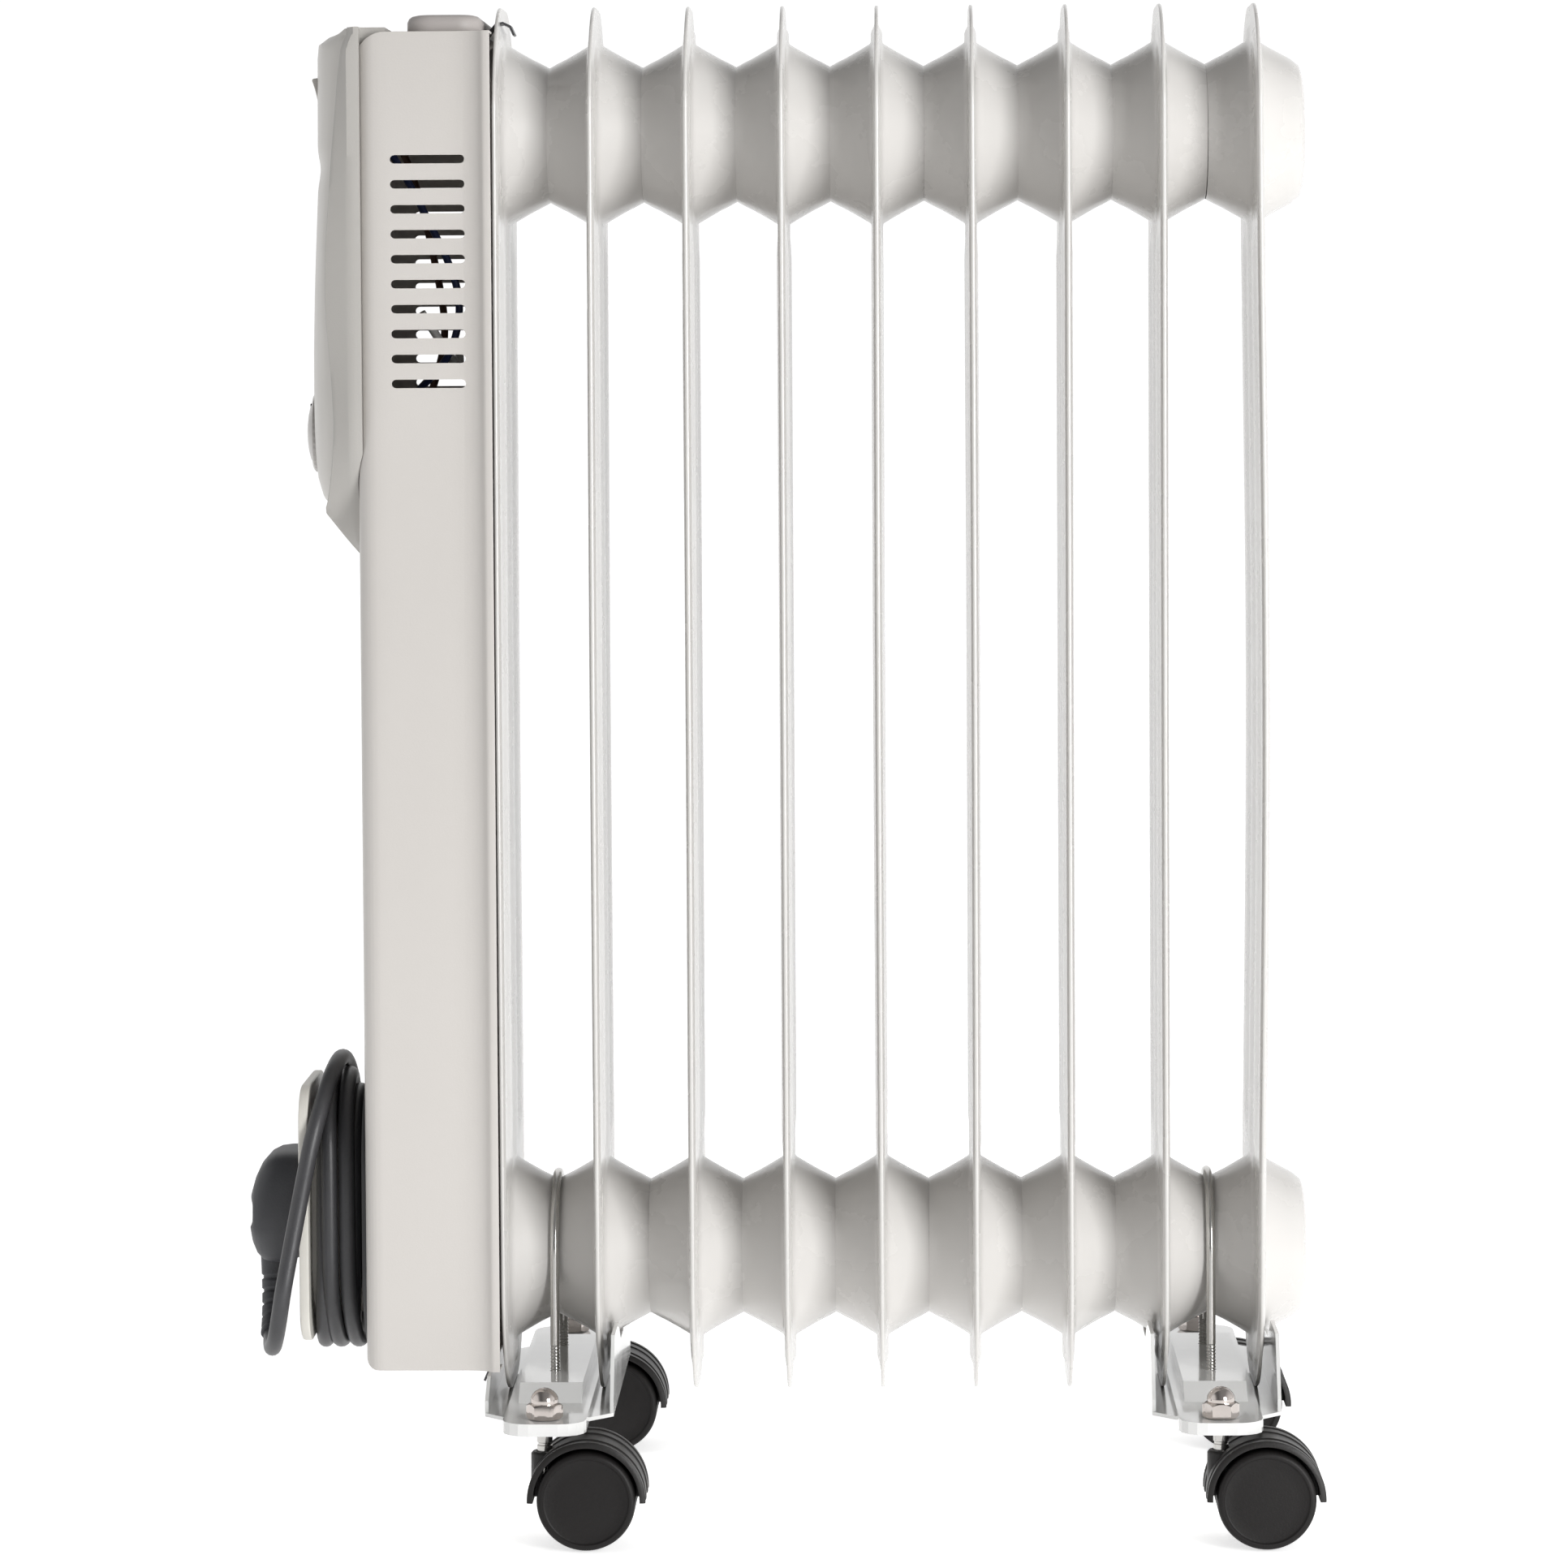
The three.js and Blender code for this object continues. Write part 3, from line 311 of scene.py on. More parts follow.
# ---------------------------------------------------------------- materials
def material(name, colour, roughness, metallic=0.0, coat=0.0, coat_roughness=0.1, tone=0.04, tone_scale=6.0,
             grain=0.1, grain_scale=900.0, wave=0.0, wave_scale=60.0, rough_swing=0.08, specular=0.5,
             speck=0.0):
    """A procedural finish: drifting tone, fine grain, long waves in the surface, and uneven gloss."""
    made = bpy.data.materials.new(name)
    made.use_nodes = True
    nodes, links = made.node_tree.nodes, made.node_tree.links
    shader = nodes["Principled BSDF"]
    shader.inputs["Metallic"].default_value = metallic
    shader.inputs["Coat Weight"].default_value = coat
    shader.inputs["Coat Roughness"].default_value = coat_roughness
    shader.inputs["Specular IOR Level"].default_value = specular
    where = nodes.new("ShaderNodeTexCoord")

    def noise(scale, detail=4.0, rough=0.55):
        made_noise = nodes.new("ShaderNodeTexNoise")
        made_noise.inputs["Scale"].default_value = scale
        made_noise.inputs["Detail"].default_value = detail
        made_noise.inputs["Roughness"].default_value = rough
        links.new(where.outputs["Object"], made_noise.inputs["Vector"])
        return made_noise

    drift = noise(tone_scale)
    shades = nodes.new("ShaderNodeValToRGB")
    low = [max(c * (1 - tone), 0) for c in colour]
    high = [min(c * (1 + tone), 1) for c in colour]
    shades.color_ramp.elements[0].position = 0.3
    shades.color_ramp.elements[0].color = (*low, 1)
    shades.color_ramp.elements[1].position = 0.7
    shades.color_ramp.elements[1].color = (*high, 1)
    links.new(drift.outputs["Fac"], shades.inputs["Fac"])
    colour_out = shades.outputs["Color"]
    if speck:
        dots = noise(1400.0, 2.0)
        spots = nodes.new("ShaderNodeValToRGB")
        spots.color_ramp.elements[0].position = 0.62
        spots.color_ramp.elements[0].color = (0, 0, 0, 1)
        spots.color_ramp.elements[1].position = 0.7
        spots.color_ramp.elements[1].color = (speck, speck, speck, 1)
        links.new(dots.outputs["Fac"], spots.inputs["Fac"])
        mix = nodes.new("ShaderNodeMixRGB")
        mix.blend_type = "MULTIPLY"
        mix.inputs["Color2"].default_value = (0.6, 0.6, 0.6, 1)
        links.new(spots.outputs["Color"], mix.inputs["Fac"])
        links.new(colour_out, mix.inputs["Color1"])
        colour_out = mix.outputs["Color"]
    links.new(colour_out, shader.inputs["Base Color"])
    smear = noise(tone_scale * 5, 6.0)
    gloss = nodes.new("ShaderNodeMapRange")
    gloss.inputs["To Min"].default_value = max(roughness - rough_swing, 0.02)
    gloss.inputs["To Max"].default_value = min(roughness + rough_swing, 1.0)
    links.new(smear.outputs["Fac"], gloss.inputs["Value"])
    links.new(gloss.outputs["Result"], shader.inputs["Roughness"])
    fine = noise(grain_scale, 2.0)
    bump = nodes.new("ShaderNodeBump")
    bump.inputs["Strength"].default_value = grain
    bump.inputs["Distance"].default_value = 0.0002
    links.new(fine.outputs["Fac"], bump.inputs["Height"])
    if wave:
        swell = noise(wave_scale, 1.0)
        long_bump = nodes.new("ShaderNodeBump")
        long_bump.inputs["Strength"].default_value = wave
        long_bump.inputs["Distance"].default_value = 0.001
        links.new(swell.outputs["Fac"], long_bump.inputs["Height"])
        links.new(long_bump.outputs["Normal"], bump.inputs["Normal"])
    links.new(bump.outputs["Normal"], shader.inputs["Normal"])
    return made


ENAMEL = material("enamel", (0.62, 0.605, 0.585), 0.27, coat=0.35, coat_roughness=0.12, tone=0.012,
                  grain=0.01, grain_scale=700.0, wave=0.01, wave_scale=30.0, rough_swing=0.04)
HOUSING_PAINT = material("housing_paint", (0.56, 0.535, 0.508), 0.42, coat=0.15, coat_roughness=0.3,
                         tone=0.012, grain=0.2, grain_scale=1100.0, wave=0.08)
BRACKET_PAINT = material("bracket_paint", (0.7, 0.7, 0.69), 0.14, coat=0.6, coat_roughness=0.05,
                         tone=0.02, grain=0.05, wave=0.12, wave_scale=50.0)
BEZEL_PLASTIC = material("bezel_plastic", (0.43, 0.415, 0.392), 0.45, tone=0.02, grain=0.35,
                         grain_scale=1600.0)
PANEL_PLASTIC = material("panel_plastic", (0.56, 0.54, 0.51), 0.36, tone=0.015, grain=0.22,
                         grain_scale=1500.0)
HANDLE_PLASTIC = material("handle_plastic", (0.42, 0.39, 0.375), 0.5, tone=0.02, grain=0.4,
                          grain_scale=1500.0)
KNOB_PLASTIC = material("knob_plastic", (0.5, 0.48, 0.46), 0.3, tone=0.02, grain=0.15, coat=0.2)
WRAP_PLASTIC = material("wrap_plastic", (0.66, 0.64, 0.59), 0.42, tone=0.02, grain=0.3,
                        grain_scale=1500.0)
BLACK_PLASTIC = material("black_plastic", (0.012, 0.011, 0.0105), 0.42, specular=0.3, tone=0.25,
                         grain=0.35, grain_scale=1300.0, speck=0.5)
WHEEL_PLASTIC = material("wheel_plastic", (0.009, 0.008, 0.0078), 0.48, specular=0.22, tone=0.25,
                         grain=0.45, grain_scale=1000.0, speck=0.6)
DARK_PLASTIC = material("dark_plastic", (0.03, 0.03, 0.032), 0.35, tone=0.2, grain=0.2)
CORD_RUBBER = material("cord_rubber", (0.042, 0.042, 0.045), 0.4, tone=0.2, tone_scale=20.0, grain=0.3,
                       grain_scale=1200.0, wave=0.1, wave_scale=120.0, speck=0.5)
PLUG_RUBBER = material("plug_rubber", (0.034, 0.035, 0.04), 0.5, tone=0.2, grain=0.4,
                       grain_scale=1500.0)
PLATED = material("plated", (0.55, 0.54, 0.52), 0.2, metallic=1.0, tone=0.05, tone_scale=60.0,
                  grain=0.03, rough_swing=0.05)
NICKEL = material("nickel", (0.58, 0.53, 0.5), 0.13, metallic=1.0, tone=0.06, tone_scale=90.0,
                  grain=0.03, rough_swing=0.05)
SPRING_STEEL = material("spring_steel", (0.09, 0.09, 0.095), 0.38, metallic=0.8, tone=0.2, grain=0.2)
PHENOLIC = material("phenolic", (0.09, 0.045, 0.03), 0.5, tone=0.2, grain=0.3)
BRASS = material("brass", (0.7, 0.5, 0.22), 0.3, metallic=1.0, tone=0.1, grain=0.15)
WIRE_WHITE = material("wire_white", (0.6, 0.6, 0.58), 0.4, tone=0.1, grain=0.2)
WIRE_BROWN = material("wire_brown", (0.08, 0.03, 0.015), 0.4, tone=0.1, grain=0.2)
WIRE_BLUE = material("wire_blue", (0.012, 0.02, 0.07), 0.4, tone=0.1, grain=0.2)


# ---------------------------------------------------------------- mains lead
GLAND_X, GLAND_Y, GLAND_Z, GLAND_TOP = -221.2, 28.0, 97.0, 121.0
PLUG_Y = 7
LEAD_END_X = -259  # where the lead meets the bend sleeve
RHO_INNER, RHO_OUTER, RHO_TAIL = 28.5, 35.6, 42.7
TURN_RADIUS, TURN_Y, TURN_Z = 28.0, -21.0, 93.7  # the loop under the plug


def on_winding(angle, rho):
    """The (y, z) point of the stadium-shaped winding: 0 is its far side, 90 its top, 180 its near side."""
    a = radians(angle % 360)
    lift = WRAP_HALF_STRAIGHT if sin(a) >= 0 else -WRAP_HALF_STRAIGHT
    return rho * cos(a), WRAP_Z + lift + rho * sin(a)


def lead_route():
    """The lead from its grommet, round the hub, and down past the plate to the plug."""
    columns = [(0, -221.2), (170, -220.9), (360, -228.3), (500, -231.8), (630, -236.0), (990, -229.0),
        (1350, -221.6), (1530, -229.0)]
    layers = [(0, RHO_INNER), (450, RHO_INNER), (600, RHO_OUTER), (1360, RHO_OUTER), (1500, RHO_TAIL),
        (1530, RHO_TAIL)]
    points = [(GLAND_X, GLAND_Y, z) for z in (GLAND_Z, GLAND_TOP, GLAND_TOP + 12)]
    for angle in range(10, 1531, 20):
        y, z = on_winding(angle, table_value(layers, angle))
        points.append((table_value(columns, angle), y, z))
    for angle, rho, x in ((110, 42.9, -230.2), (126, 43.2, -231.9), (140, 43.8, -233.6),
            (154, 44.4, -235.8)):
        y, z = on_winding(angle, rho)
        points.append((x, y, z))
    points += [(-238.3, -43.2, 151.0), (-241.0, -44.4, 137.5), (-243.8, -45.8, 123.0),
        (-246.6, -47.6, 108.0)]
    for angle, x in ((180, -249.2), (205, -251.3), (230, -253.6), (255, -256), (280, -257.9), (305, -258.8),
                     (330, LEAD_END_X), (360, LEAD_END_X)):
        a = radians(angle)
        points.append((x, TURN_Y + TURN_RADIUS * cos(a), TURN_Z + TURN_RADIUS * sin(a)))
    return smooth_path(points, 900)


route = lead_route()
lead = raw_object("mains_lead", sweep(route, CORD_D / 2, 16), 60.0)
finish_piece(lead, CORD_RUBBER, "chassis", "cord_coil", "cord_tail")
route_length = sum((b - a).length for a, b in zip(route, route[1:])) / 1000

RELIEF_PATH = [(LEAD_END_X, PLUG_Y, 100), (LEAD_END_X, PLUG_Y, 94)]
for turn in (16, 32, 48, 62):
    a = radians(turn)
    RELIEF_PATH.append((LEAD_END_X, TURN_Y + TURN_RADIUS * cos(a), TURN_Z - TURN_RADIUS * sin(a)))
RELIEF_POINTS = 60


def relief_radius(i):
    """The bend sleeve: tapering, with grooves round it."""
    share = i / RELIEF_POINTS
    groove = 0.75 if (share > 0.16 and (i % 10) in (4, 5, 6)) else 0.0
    return 5.6 - 1.3 * share - groove


relief = raw_object("bend_sleeve", sweep(smooth_path(RELIEF_PATH, RELIEF_POINTS), relief_radius, 32), 60.0)
finish_piece(relief, PLUG_RUBBER, "chassis", "plug_strain_relief")


def plug_ring(x, top, bottom, half, power):
    """One section of the plug across Y and up Z, a rounded shield that narrows to the sleeve."""
    ring = []
    for k in range(72):
        a = 2 * pi * k / 72
        c, s = cos(a), sin(a)
        u = half * (abs(c) ** (2 / power)) * (1 if c >= 0 else -1)
        v = (abs(s) ** (2 / power)) * (1 if s >= 0 else -1)
        middle = (top + bottom) / 2
        z = middle + v * (top - bottom) / 2
        narrow = 1 - 0.34 * ramp(0.1, 1.0, -v)
        ring.append((x, PLUG_Y + u * narrow, z))
    return ring


def plug_body():
    """The plug's shell, from its face on the wrap to its rounded back."""
    rows = [
        (-246.0, 145.2, 101.5, 23.6, 5.0), (-246.6, 146.0, 100.6, 24.5, 5.0),
        (-248.5, 146.2, 99.8, 24.8, 4.8),
        (-252.0, 146.2, 98.6, 24.8, 4.6), (-256.0, 145.8, 98.0, 24.6, 4.2),
        (-259.5, 144.2, 98.0, 24.0, 3.8),
        (-262.6, 140.8, 99.0, 22.8, 3.5), (-265.2, 135.5, 101.5, 20.5, 3.2),
        (-267.0, 129.5, 105.5, 17.0, 3.0),
        (-267.9, 124.0, 110.0, 11.5, 2.6), (-268.1, 119.5, 114.5, 5.0, 2.2),
    ]
    return loft([plug_ring(*row) for row in rows])


plug = raw_object("plug_body", plug_body(), 50.0)
finger_dip = raw_object("dip",
    turned("y", (-278.0, 0, 121), [(-17, 0), (-17, 6), (-12, 12.6), (26, 12.6), (31, 6), (31, 0)]))
combine(plug, [finger_dip], sharp=50.0)
round_edges(plug, 0.5, 2, 45, 50)
finish_piece(plug, PLUG_RUBBER, "chassis", "mains_plug")
PLUG_FACE = -246
# each pin's centre, its half width and half height, and how far it stands out of the plug's face
PLUG_PINS = (
    ("earth", PLUG_Y, 135, 2, 4, 22.7), ("live", -4.1, 112.8, 3.2, 2, 17.7),
    ("neutral", 18.1, 112.8, 3.2, 2, 17.7),
)
for pin_name, pin_y, pin_z, half_y, half_z, pin_length in PLUG_PINS:
    pin = raw_object("plug_pin_" + pin_name, box((PLUG_FACE - 1, pin_y - half_y, pin_z - half_z),
                                                 (PLUG_FACE + pin_length, pin_y + half_y, pin_z + half_z)))
    round_edges(pin, 0.5)
    finish_piece(pin, BRASS, "chassis")

[place(p) for p in route]


# ---------------------------------------------------------------- fins
# how far the fin's face stands from its middle plane, by distance from the header's axis
COLLAR = [(28.2, 18.9), (28.9, 17.6), (30.2, 15.2), (31.6, 12.3), (33.4, 9.1), (35.0, 6.3), (36.0, 4.6),
    (36.7, 3.5),
          (37.2, 2.6), (37.8, 1.9), (38.8, 1.3), (41.0, 0.4), (43.0, 0.0)]
CLOSED_END = [(0.0, 20.9), (12.0, 20.8), (20.0, 20.4), (24.5, 19.8), (27.5, 18.6), (30.0, 15.6),
    (31.6, 12.6), (33.4, 9.2),
              (35.0, 6.3), (36.0, 4.6), (36.7, 3.5), (37.2, 2.6), (37.8, 1.9), (38.8, 1.3), (41.0, 0.4),
    (43.0, 0.0)]
PLATEAU_RISE, CHANNEL_RISE = 0.8, 0.95  # the field inside the rim, and the oil channels on it
COLUMNS = 48
STRAIGHT_LOW, STRAIGHT_HIGH = 179.0, 500.0
FIN_MIDDLE = (FIN_LOW + FIN_HIGH) / 2
FIN_REACH = (FIN_HIGH - FIN_LOW) / 2 - FIN_CORNER
FIN_BOW = {1: -0.3, FIN_COUNT: 2.2}  # how far the end fins bulge at half height
STUB_HEIGHT = 9.5  # the first fin's collars, behind the housing


def past_corner(y, z):
    """How far a point lies past the centre of the nearest corner's arc, across the fin and up it."""
    return abs(y) - (FIN_HALF - FIN_CORNER), abs(z - FIN_MIDDLE) - FIN_REACH


def edge_distance(y, z):
    """How far inside the fin's outline a point is."""
    qy, qz = past_corner(y, z)
    return FIN_CORNER - (hypot(max(qy, 0), max(qz, 0)) + min(max(qy, qz), 0))


def end_share(y, z):
    """1 beside the fin's top and bottom edges, 0 beside its upright edges, and between in its corners."""
    qy, qz = past_corner(y, z)
    if qy > 0 and qz > 0:
        return (qz / hypot(qy, qz)) ** 2
    return 1.0 if qz > qy else 0.0


def face_height(y, z, collar):
    """How far a fin's face stands out from its middle plane."""
    inside = edge_distance(y, z)
    steep = end_share(y, z)
    rim_width = 1.4 + 7.1 * steep
    body = 0.0  # the channels' rise
    for centre in CHANNEL_Y:
        across = abs(y - centre) / 16.5
        if across < 1:
            shape = cos(across * pi / 2) ** 1.2
            if centre:
                shape *= ramp(143, 158, z) * ramp(538, 522, z)
            body = max(body, CHANNEL_RISE * shape)
    body = (body + PLATEAU_RISE) * ramp(rim_width - 1.6 - 0.4 * steep, rim_width + 1.2 + 1.3 * steep,
        inside)
    radius = min(hypot(y, z - HEADER_LOW), hypot(y, z - HEADER_HIGH))
    raised = table_value(collar, radius) * (1.0 if inside > 6 else ramp(1.0, 6.0, inside))
    return RIM_HALF + max(body, raised)


def outline_points(header, toward):
    """The region's edge round a header: the line across the fin first, then round the fin's outline."""
    line_z = STRAIGHT_HIGH if toward > 0 else STRAIGHT_LOW
    points = [(-FIN_HALF + 2 * FIN_HALF * k / COLUMNS, line_z) for k in range(COLUMNS + 1)]
    end = FIN_HIGH if toward > 0 else FIN_LOW
    shoulder = end - toward * FIN_CORNER
    side = [(FIN_HALF, line_z + (shoulder - line_z) * k / 22) for k in range(1, 23)]
    corner = [(FIN_HALF - FIN_CORNER + FIN_CORNER * sin(pi / 2 - a),
        shoulder + toward * FIN_CORNER * sin(a))
              for a in (pi / 2 * k / 26 for k in range(1, 27))]
    top = [(FIN_HALF - FIN_CORNER - 2 * (FIN_HALF - FIN_CORNER) * k / 8, end) for k in range(1, 9)]
    back_corner = [(-y, z) for y, z in reversed(corner[:-1])]
    back_side = [(-y, z) for y, z in reversed(side)]
    points += side + corner + top + back_corner + back_side
    return points


def header_region(header, toward, radii, place_point):
    """Rings from the header out to the region's edge."""
    edge = outline_points(header, toward)
    shares = (0.1, 0.2, 0.3, 0.42, 0.54, 0.66, 0.76, 0.84, 0.91, 0.96, 1.0)
    rings = []
    for radius in radii:
        rings.append([place_point(radius * sin(atan2(y, z - header)),
            header + radius * cos(atan2(y, z - header)))
                      for y, z in edge])
    last = radii[-1]
    for share in shares:
        ring = []
        for y, z in edge:
            reach = hypot(y, z - header)
            radius = last + (reach - last) * share
            ring.append(place_point(y * radius / reach, header + (z - header) * radius / reach))
        rings.append(ring)
    return loft(rings, caps=False)


def fin_mesh(number):
    """A whole fin: both pressed faces with their header collars, and the welded rim between them."""
    x = (number - (FIN_COUNT + 1) / 2) * FIN_PITCH
    bow = FIN_BOW.get(number, 0.25 * sin(number * 2.3))
    parts = []
    for sign in (-1, 1):
        closed = number == FIN_COUNT and sign > 0
        stub = number == 1 and sign < 0
        collar = CLOSED_END if closed else COLLAR

        def place_point(y, z):
            height = face_height(y, z, collar)
            if stub:
                height = min(height, STUB_HEIGHT)
            swell = bow * sin(pi * ramp(FIN_LOW, FIN_HIGH, z))
            return (x + swell + sign * height, y, z)

        radii = [28.2, 28.9, 30.2, 31.6, 33.4, 35.0, 36.0, 36.7, 37.2, 37.8, 38.8, 40.2, 41.6, 43.0]
        if closed:
            radii = [0.05, 6, 12, 17, 21, 24, 26, 27.5] + radii
        parts.append(header_region(HEADER_HIGH, 1, radii, place_point))
        parts.append(header_region(HEADER_LOW, -1, radii, place_point))
        rows = []
        for level in range(13):
            z = STRAIGHT_LOW + (STRAIGHT_HIGH - STRAIGHT_LOW) * level / 12
            rows.append([place_point(-FIN_HALF + 2 * FIN_HALF * k / COLUMNS, z)
                for k in range(COLUMNS + 1)])
        parts.append(loft(rows, closed=False, caps=False))
    loop = [p for p in outline_points(HEADER_HIGH, 1)[COLUMNS:]]
    loop += [(-FIN_HALF, STRAIGHT_HIGH + (STRAIGHT_LOW - STRAIGHT_HIGH) * k / 12) for k in range(1, 12)]
    low_loop = outline_points(HEADER_LOW, -1)[COLUMNS:]
    loop += [(y, z) for y, z in reversed(low_loop)]
    loop += [(FIN_HALF, STRAIGHT_LOW + (STRAIGHT_HIGH - STRAIGHT_LOW) * k / 12) for k in range(1, 12)]
    strips = []
    for offset, grow in ((-RIM_HALF, 0.0), (-0.35, 0.28), (0.35, 0.28), (RIM_HALF, 0.0)):
        ring = []
        for y, z in loop:
            centre_y = max(min(y, FIN_HALF - FIN_CORNER), -(FIN_HALF - FIN_CORNER))
            centre_z = FIN_MIDDLE + max(min(z - FIN_MIDDLE, FIN_REACH), -FIN_REACH)
            if abs(z - FIN_MIDDLE) < FIN_REACH:
                out_y, out_z = (1 if y > 0 else -1), 0
            else:
                length = max(hypot(y - centre_y, z - centre_z), 1e-6)
                out_y, out_z = (y - centre_y) / length, (z - centre_z) / length
            swell = bow * sin(pi * ramp(FIN_LOW, FIN_HIGH, z))
            ring.append((x + swell + offset, y + out_y * grow, z + out_z * grow))
        strips.append(ring)
    parts.append(loft(strips, caps=False))
    return merge(*parts)


for number in range(1, FIN_COUNT + 1):
    skin = raw_object("fin_sheet_%d" % number, fin_mesh(number), 75.0)
    finish_piece(skin, ENAMEL, "chassis", "fin_%d" % number)

# ---------------------------------------------------------------- control housing
FRONT, BACK, LIP_BACK, HOUSING_HALF = -214.0, -161.2, -158.0, 61.0
HOUSING_LOW, HOUSING_HIGH = 62.5, 614.8
HANDLE_X = -178.0
CLIP_Y = -22.0
VENT_COUNT, VENT_TOP, VENT_PITCH = 10, 562.6, 10.22


# the side sheet flares out to a narrow lip beside the first fin's rim
SIDE_EDGE = [(-176, -61), (-172.5, -61.05), (-169.5, -61.25), (-167, -61.65), (-165, -62.3),
    (-163.5, -63.1),
             (-162.4, -64.0), (-161.6, -64.8), (-161, -65.3), (-160.3, -65.5)]


def housing_block(name, inset):
    """The housing's body: its side view meets its plan, so that every outer edge is rounded."""
    side = arc(FRONT + 13, HOUSING_HIGH - 13, 13 - inset, 90, 180, 10)
    side += arc(FRONT + 5, HOUSING_LOW + 5, 5 - inset, 180, 270, 6)
    back = LIP_BACK + (5 if inset else 0)
    side = [(back, HOUSING_HIGH - inset)] + side + [(back, HOUSING_LOW + inset)]
    # the plan: rounded at the front, and flared beside the first fin at the back
    half = HOUSING_HALF - inset
    near = arc(FRONT + 8, -(HOUSING_HALF - 8), 8 - inset, 180, 270, 8)
    near += [(u, v + inset) for u, v in SIDE_EDGE] + [(back, SIDE_EDGE[-1][1] + inset)]
    plan = near + [(u, -v) for u, v in reversed(near)]
    body = raw_object(name, prism("y", side, -HOUSING_HALF - 8, HOUSING_HALF + 8))
    return combine(body, [raw_object("plan", prism("z", plan, HOUSING_LOW - 5, HOUSING_HIGH + 5))],
        "INTERSECT")


housing = housing_block("housing_shell", 0)
round_edges(housing, 2.2, 3, 50)
cutters = [housing_block("housing_inside", 1.0)]
for row in range(VENT_COUNT):
    slot_z = VENT_TOP - row * VENT_PITCH
    cutters.append(raw_object("slot", prism("y", obround(-184.2, slot_z, 15.3, 1.75, 6), -70, 70)))
cutters.append(raw_object("window", box((-222, -38, 432), (-210, 38, 604))))
cutters.append(raw_object("between_lips", box((BACK, -52, 50), (BACK + 10, 52, 640))))
cutters.append(raw_object("notch",
    box((-166, CLIP_Y - 7, HOUSING_HIGH - 2.5), (-160, CLIP_Y + 7, HOUSING_HIGH + 1))))
cutters.append(raw_object("handle_hole", prism("z", obround(HANDLE_X, 0, 10.4, 38.4, 12), 600, 625)))
cutters.append(raw_object("gland_hole",
    turned("x", (FRONT, GLAND_Y, GLAND_Z), [(-6, 0), (-6, 4), (6, 4), (6, 0)], 32)))
combine(housing, cutters, sharp=30.0)
finish_piece(housing, HOUSING_PAINT, "chassis", "control_housing")

# ---------------------------------------------------------------- carry handle
handle_base = HOUSING_HIGH + 0.3


def handle_slab():
    """The handle's plate, with its top edge rounded over."""
    rings = []
    for z, inset in ((handle_base, 0.4), (handle_base + 0.4, 0), (619.2, 0), (620.8, 0.7), (621.8, 2.0),
            (622.3, 4.2)):
        outline = rounded_rect(HANDLE_X, 0, 15.5 - inset, 50 - inset, 10 - inset * 0.8, 10)
        rings.append([(u, v, z) for u, v in outline])
    return loft(rings)


handle = raw_object("handle_grip", handle_slab())
skirt = raw_object("skirt", prism("z", obround(HANDLE_X, 0, 10, 38, 14), 594, 618))
combine(handle, [skirt], "UNION")
combine(handle, [raw_object("finger_slot", prism("z", obround(HANDLE_X, 0, 8.2, 36.2, 14), 590, 630))])
round_edges(handle, 0.9, 3, 55)
finish_piece(handle, HANDLE_PLASTIC, "chassis", "carry_handle")

# ---------------------------------------------------------------- control panel
KNOB_Z = 450.0
ROCKER_Y, ROCKER_Z, ROCKER_PIVOT_X = 14, 588.0, -229.5
PANEL_LOW, PANEL_HIGH = 396.5, 616.8
FASCIA = (50, 418, 468)  # half the width, the foot's height and the shoulder's height
SURROUND = (62.6, 395, 466)
FASCIA_BACK, FASCIA_LEAST_DEPTH, FASCIA_SHEET = -217.7, 1.2, 2.2
FASCIA_FALL, MARKS_FALL = 3.2, 2.2  # powers of the fall from the crown to the sides, and of the dial's ticks
# where the seam beside the fascia, and the fascia's crown, stand along X at each height
SEAM = [(396, -214.6), (405, -220.6), (412, -225.3), (418, -229.4), (421, -228.2), (430, -226.3),
    (438, -225.2),
        (448, -224.4), (455, -224.1), (468.5, -224.6), (482.9, -225.7), (496, -226.8), (510.5, -227.2),
    (527, -226.8),
        (543.6, -225.5), (563.4, -224.1), (582, -222.4), (595.4, -221.3), (608.7, -219.7), (613.6, -217.5),
        (617, -216.9)]
CROWN = [(419, -231.3), (424, -233.4), (431, -235.2), (440, -235.9), (450, -236.2), (467, -236.2),
    (485, -236),
         (508, -235.3), (530, -234.4), (545, -233.8), (551.5, -233.5), (555, -232.9), (558, -232.3),
    (561, -232.3),
         (564, -232.9), (568, -233.6), (590, -233.6), (606, -233.5), (611.5, -233.0), (614, -229),
    (616, -222), (617, -218)]


def shield_half(half, foot, shoulder, z):
    """Half the width of a shield whose foot is half an ellipse."""
    if z >= shoulder:
        return half
    return half * sqrt(max(1 - ((shoulder - z) / (shoulder - foot)) ** 2, 0.0004))


def levels(low, high, count, foot_share=0.35):
    """Heights that are close together near the foot."""
    foot = [low + (high - low) * 0.25 * (k / (count * foot_share)) ** 2
        for k in range(int(count * foot_share))]
    rest = np.linspace(low + (high - low) * 0.25, high, count - len(foot))
    return foot + [float(z) for z in rest]


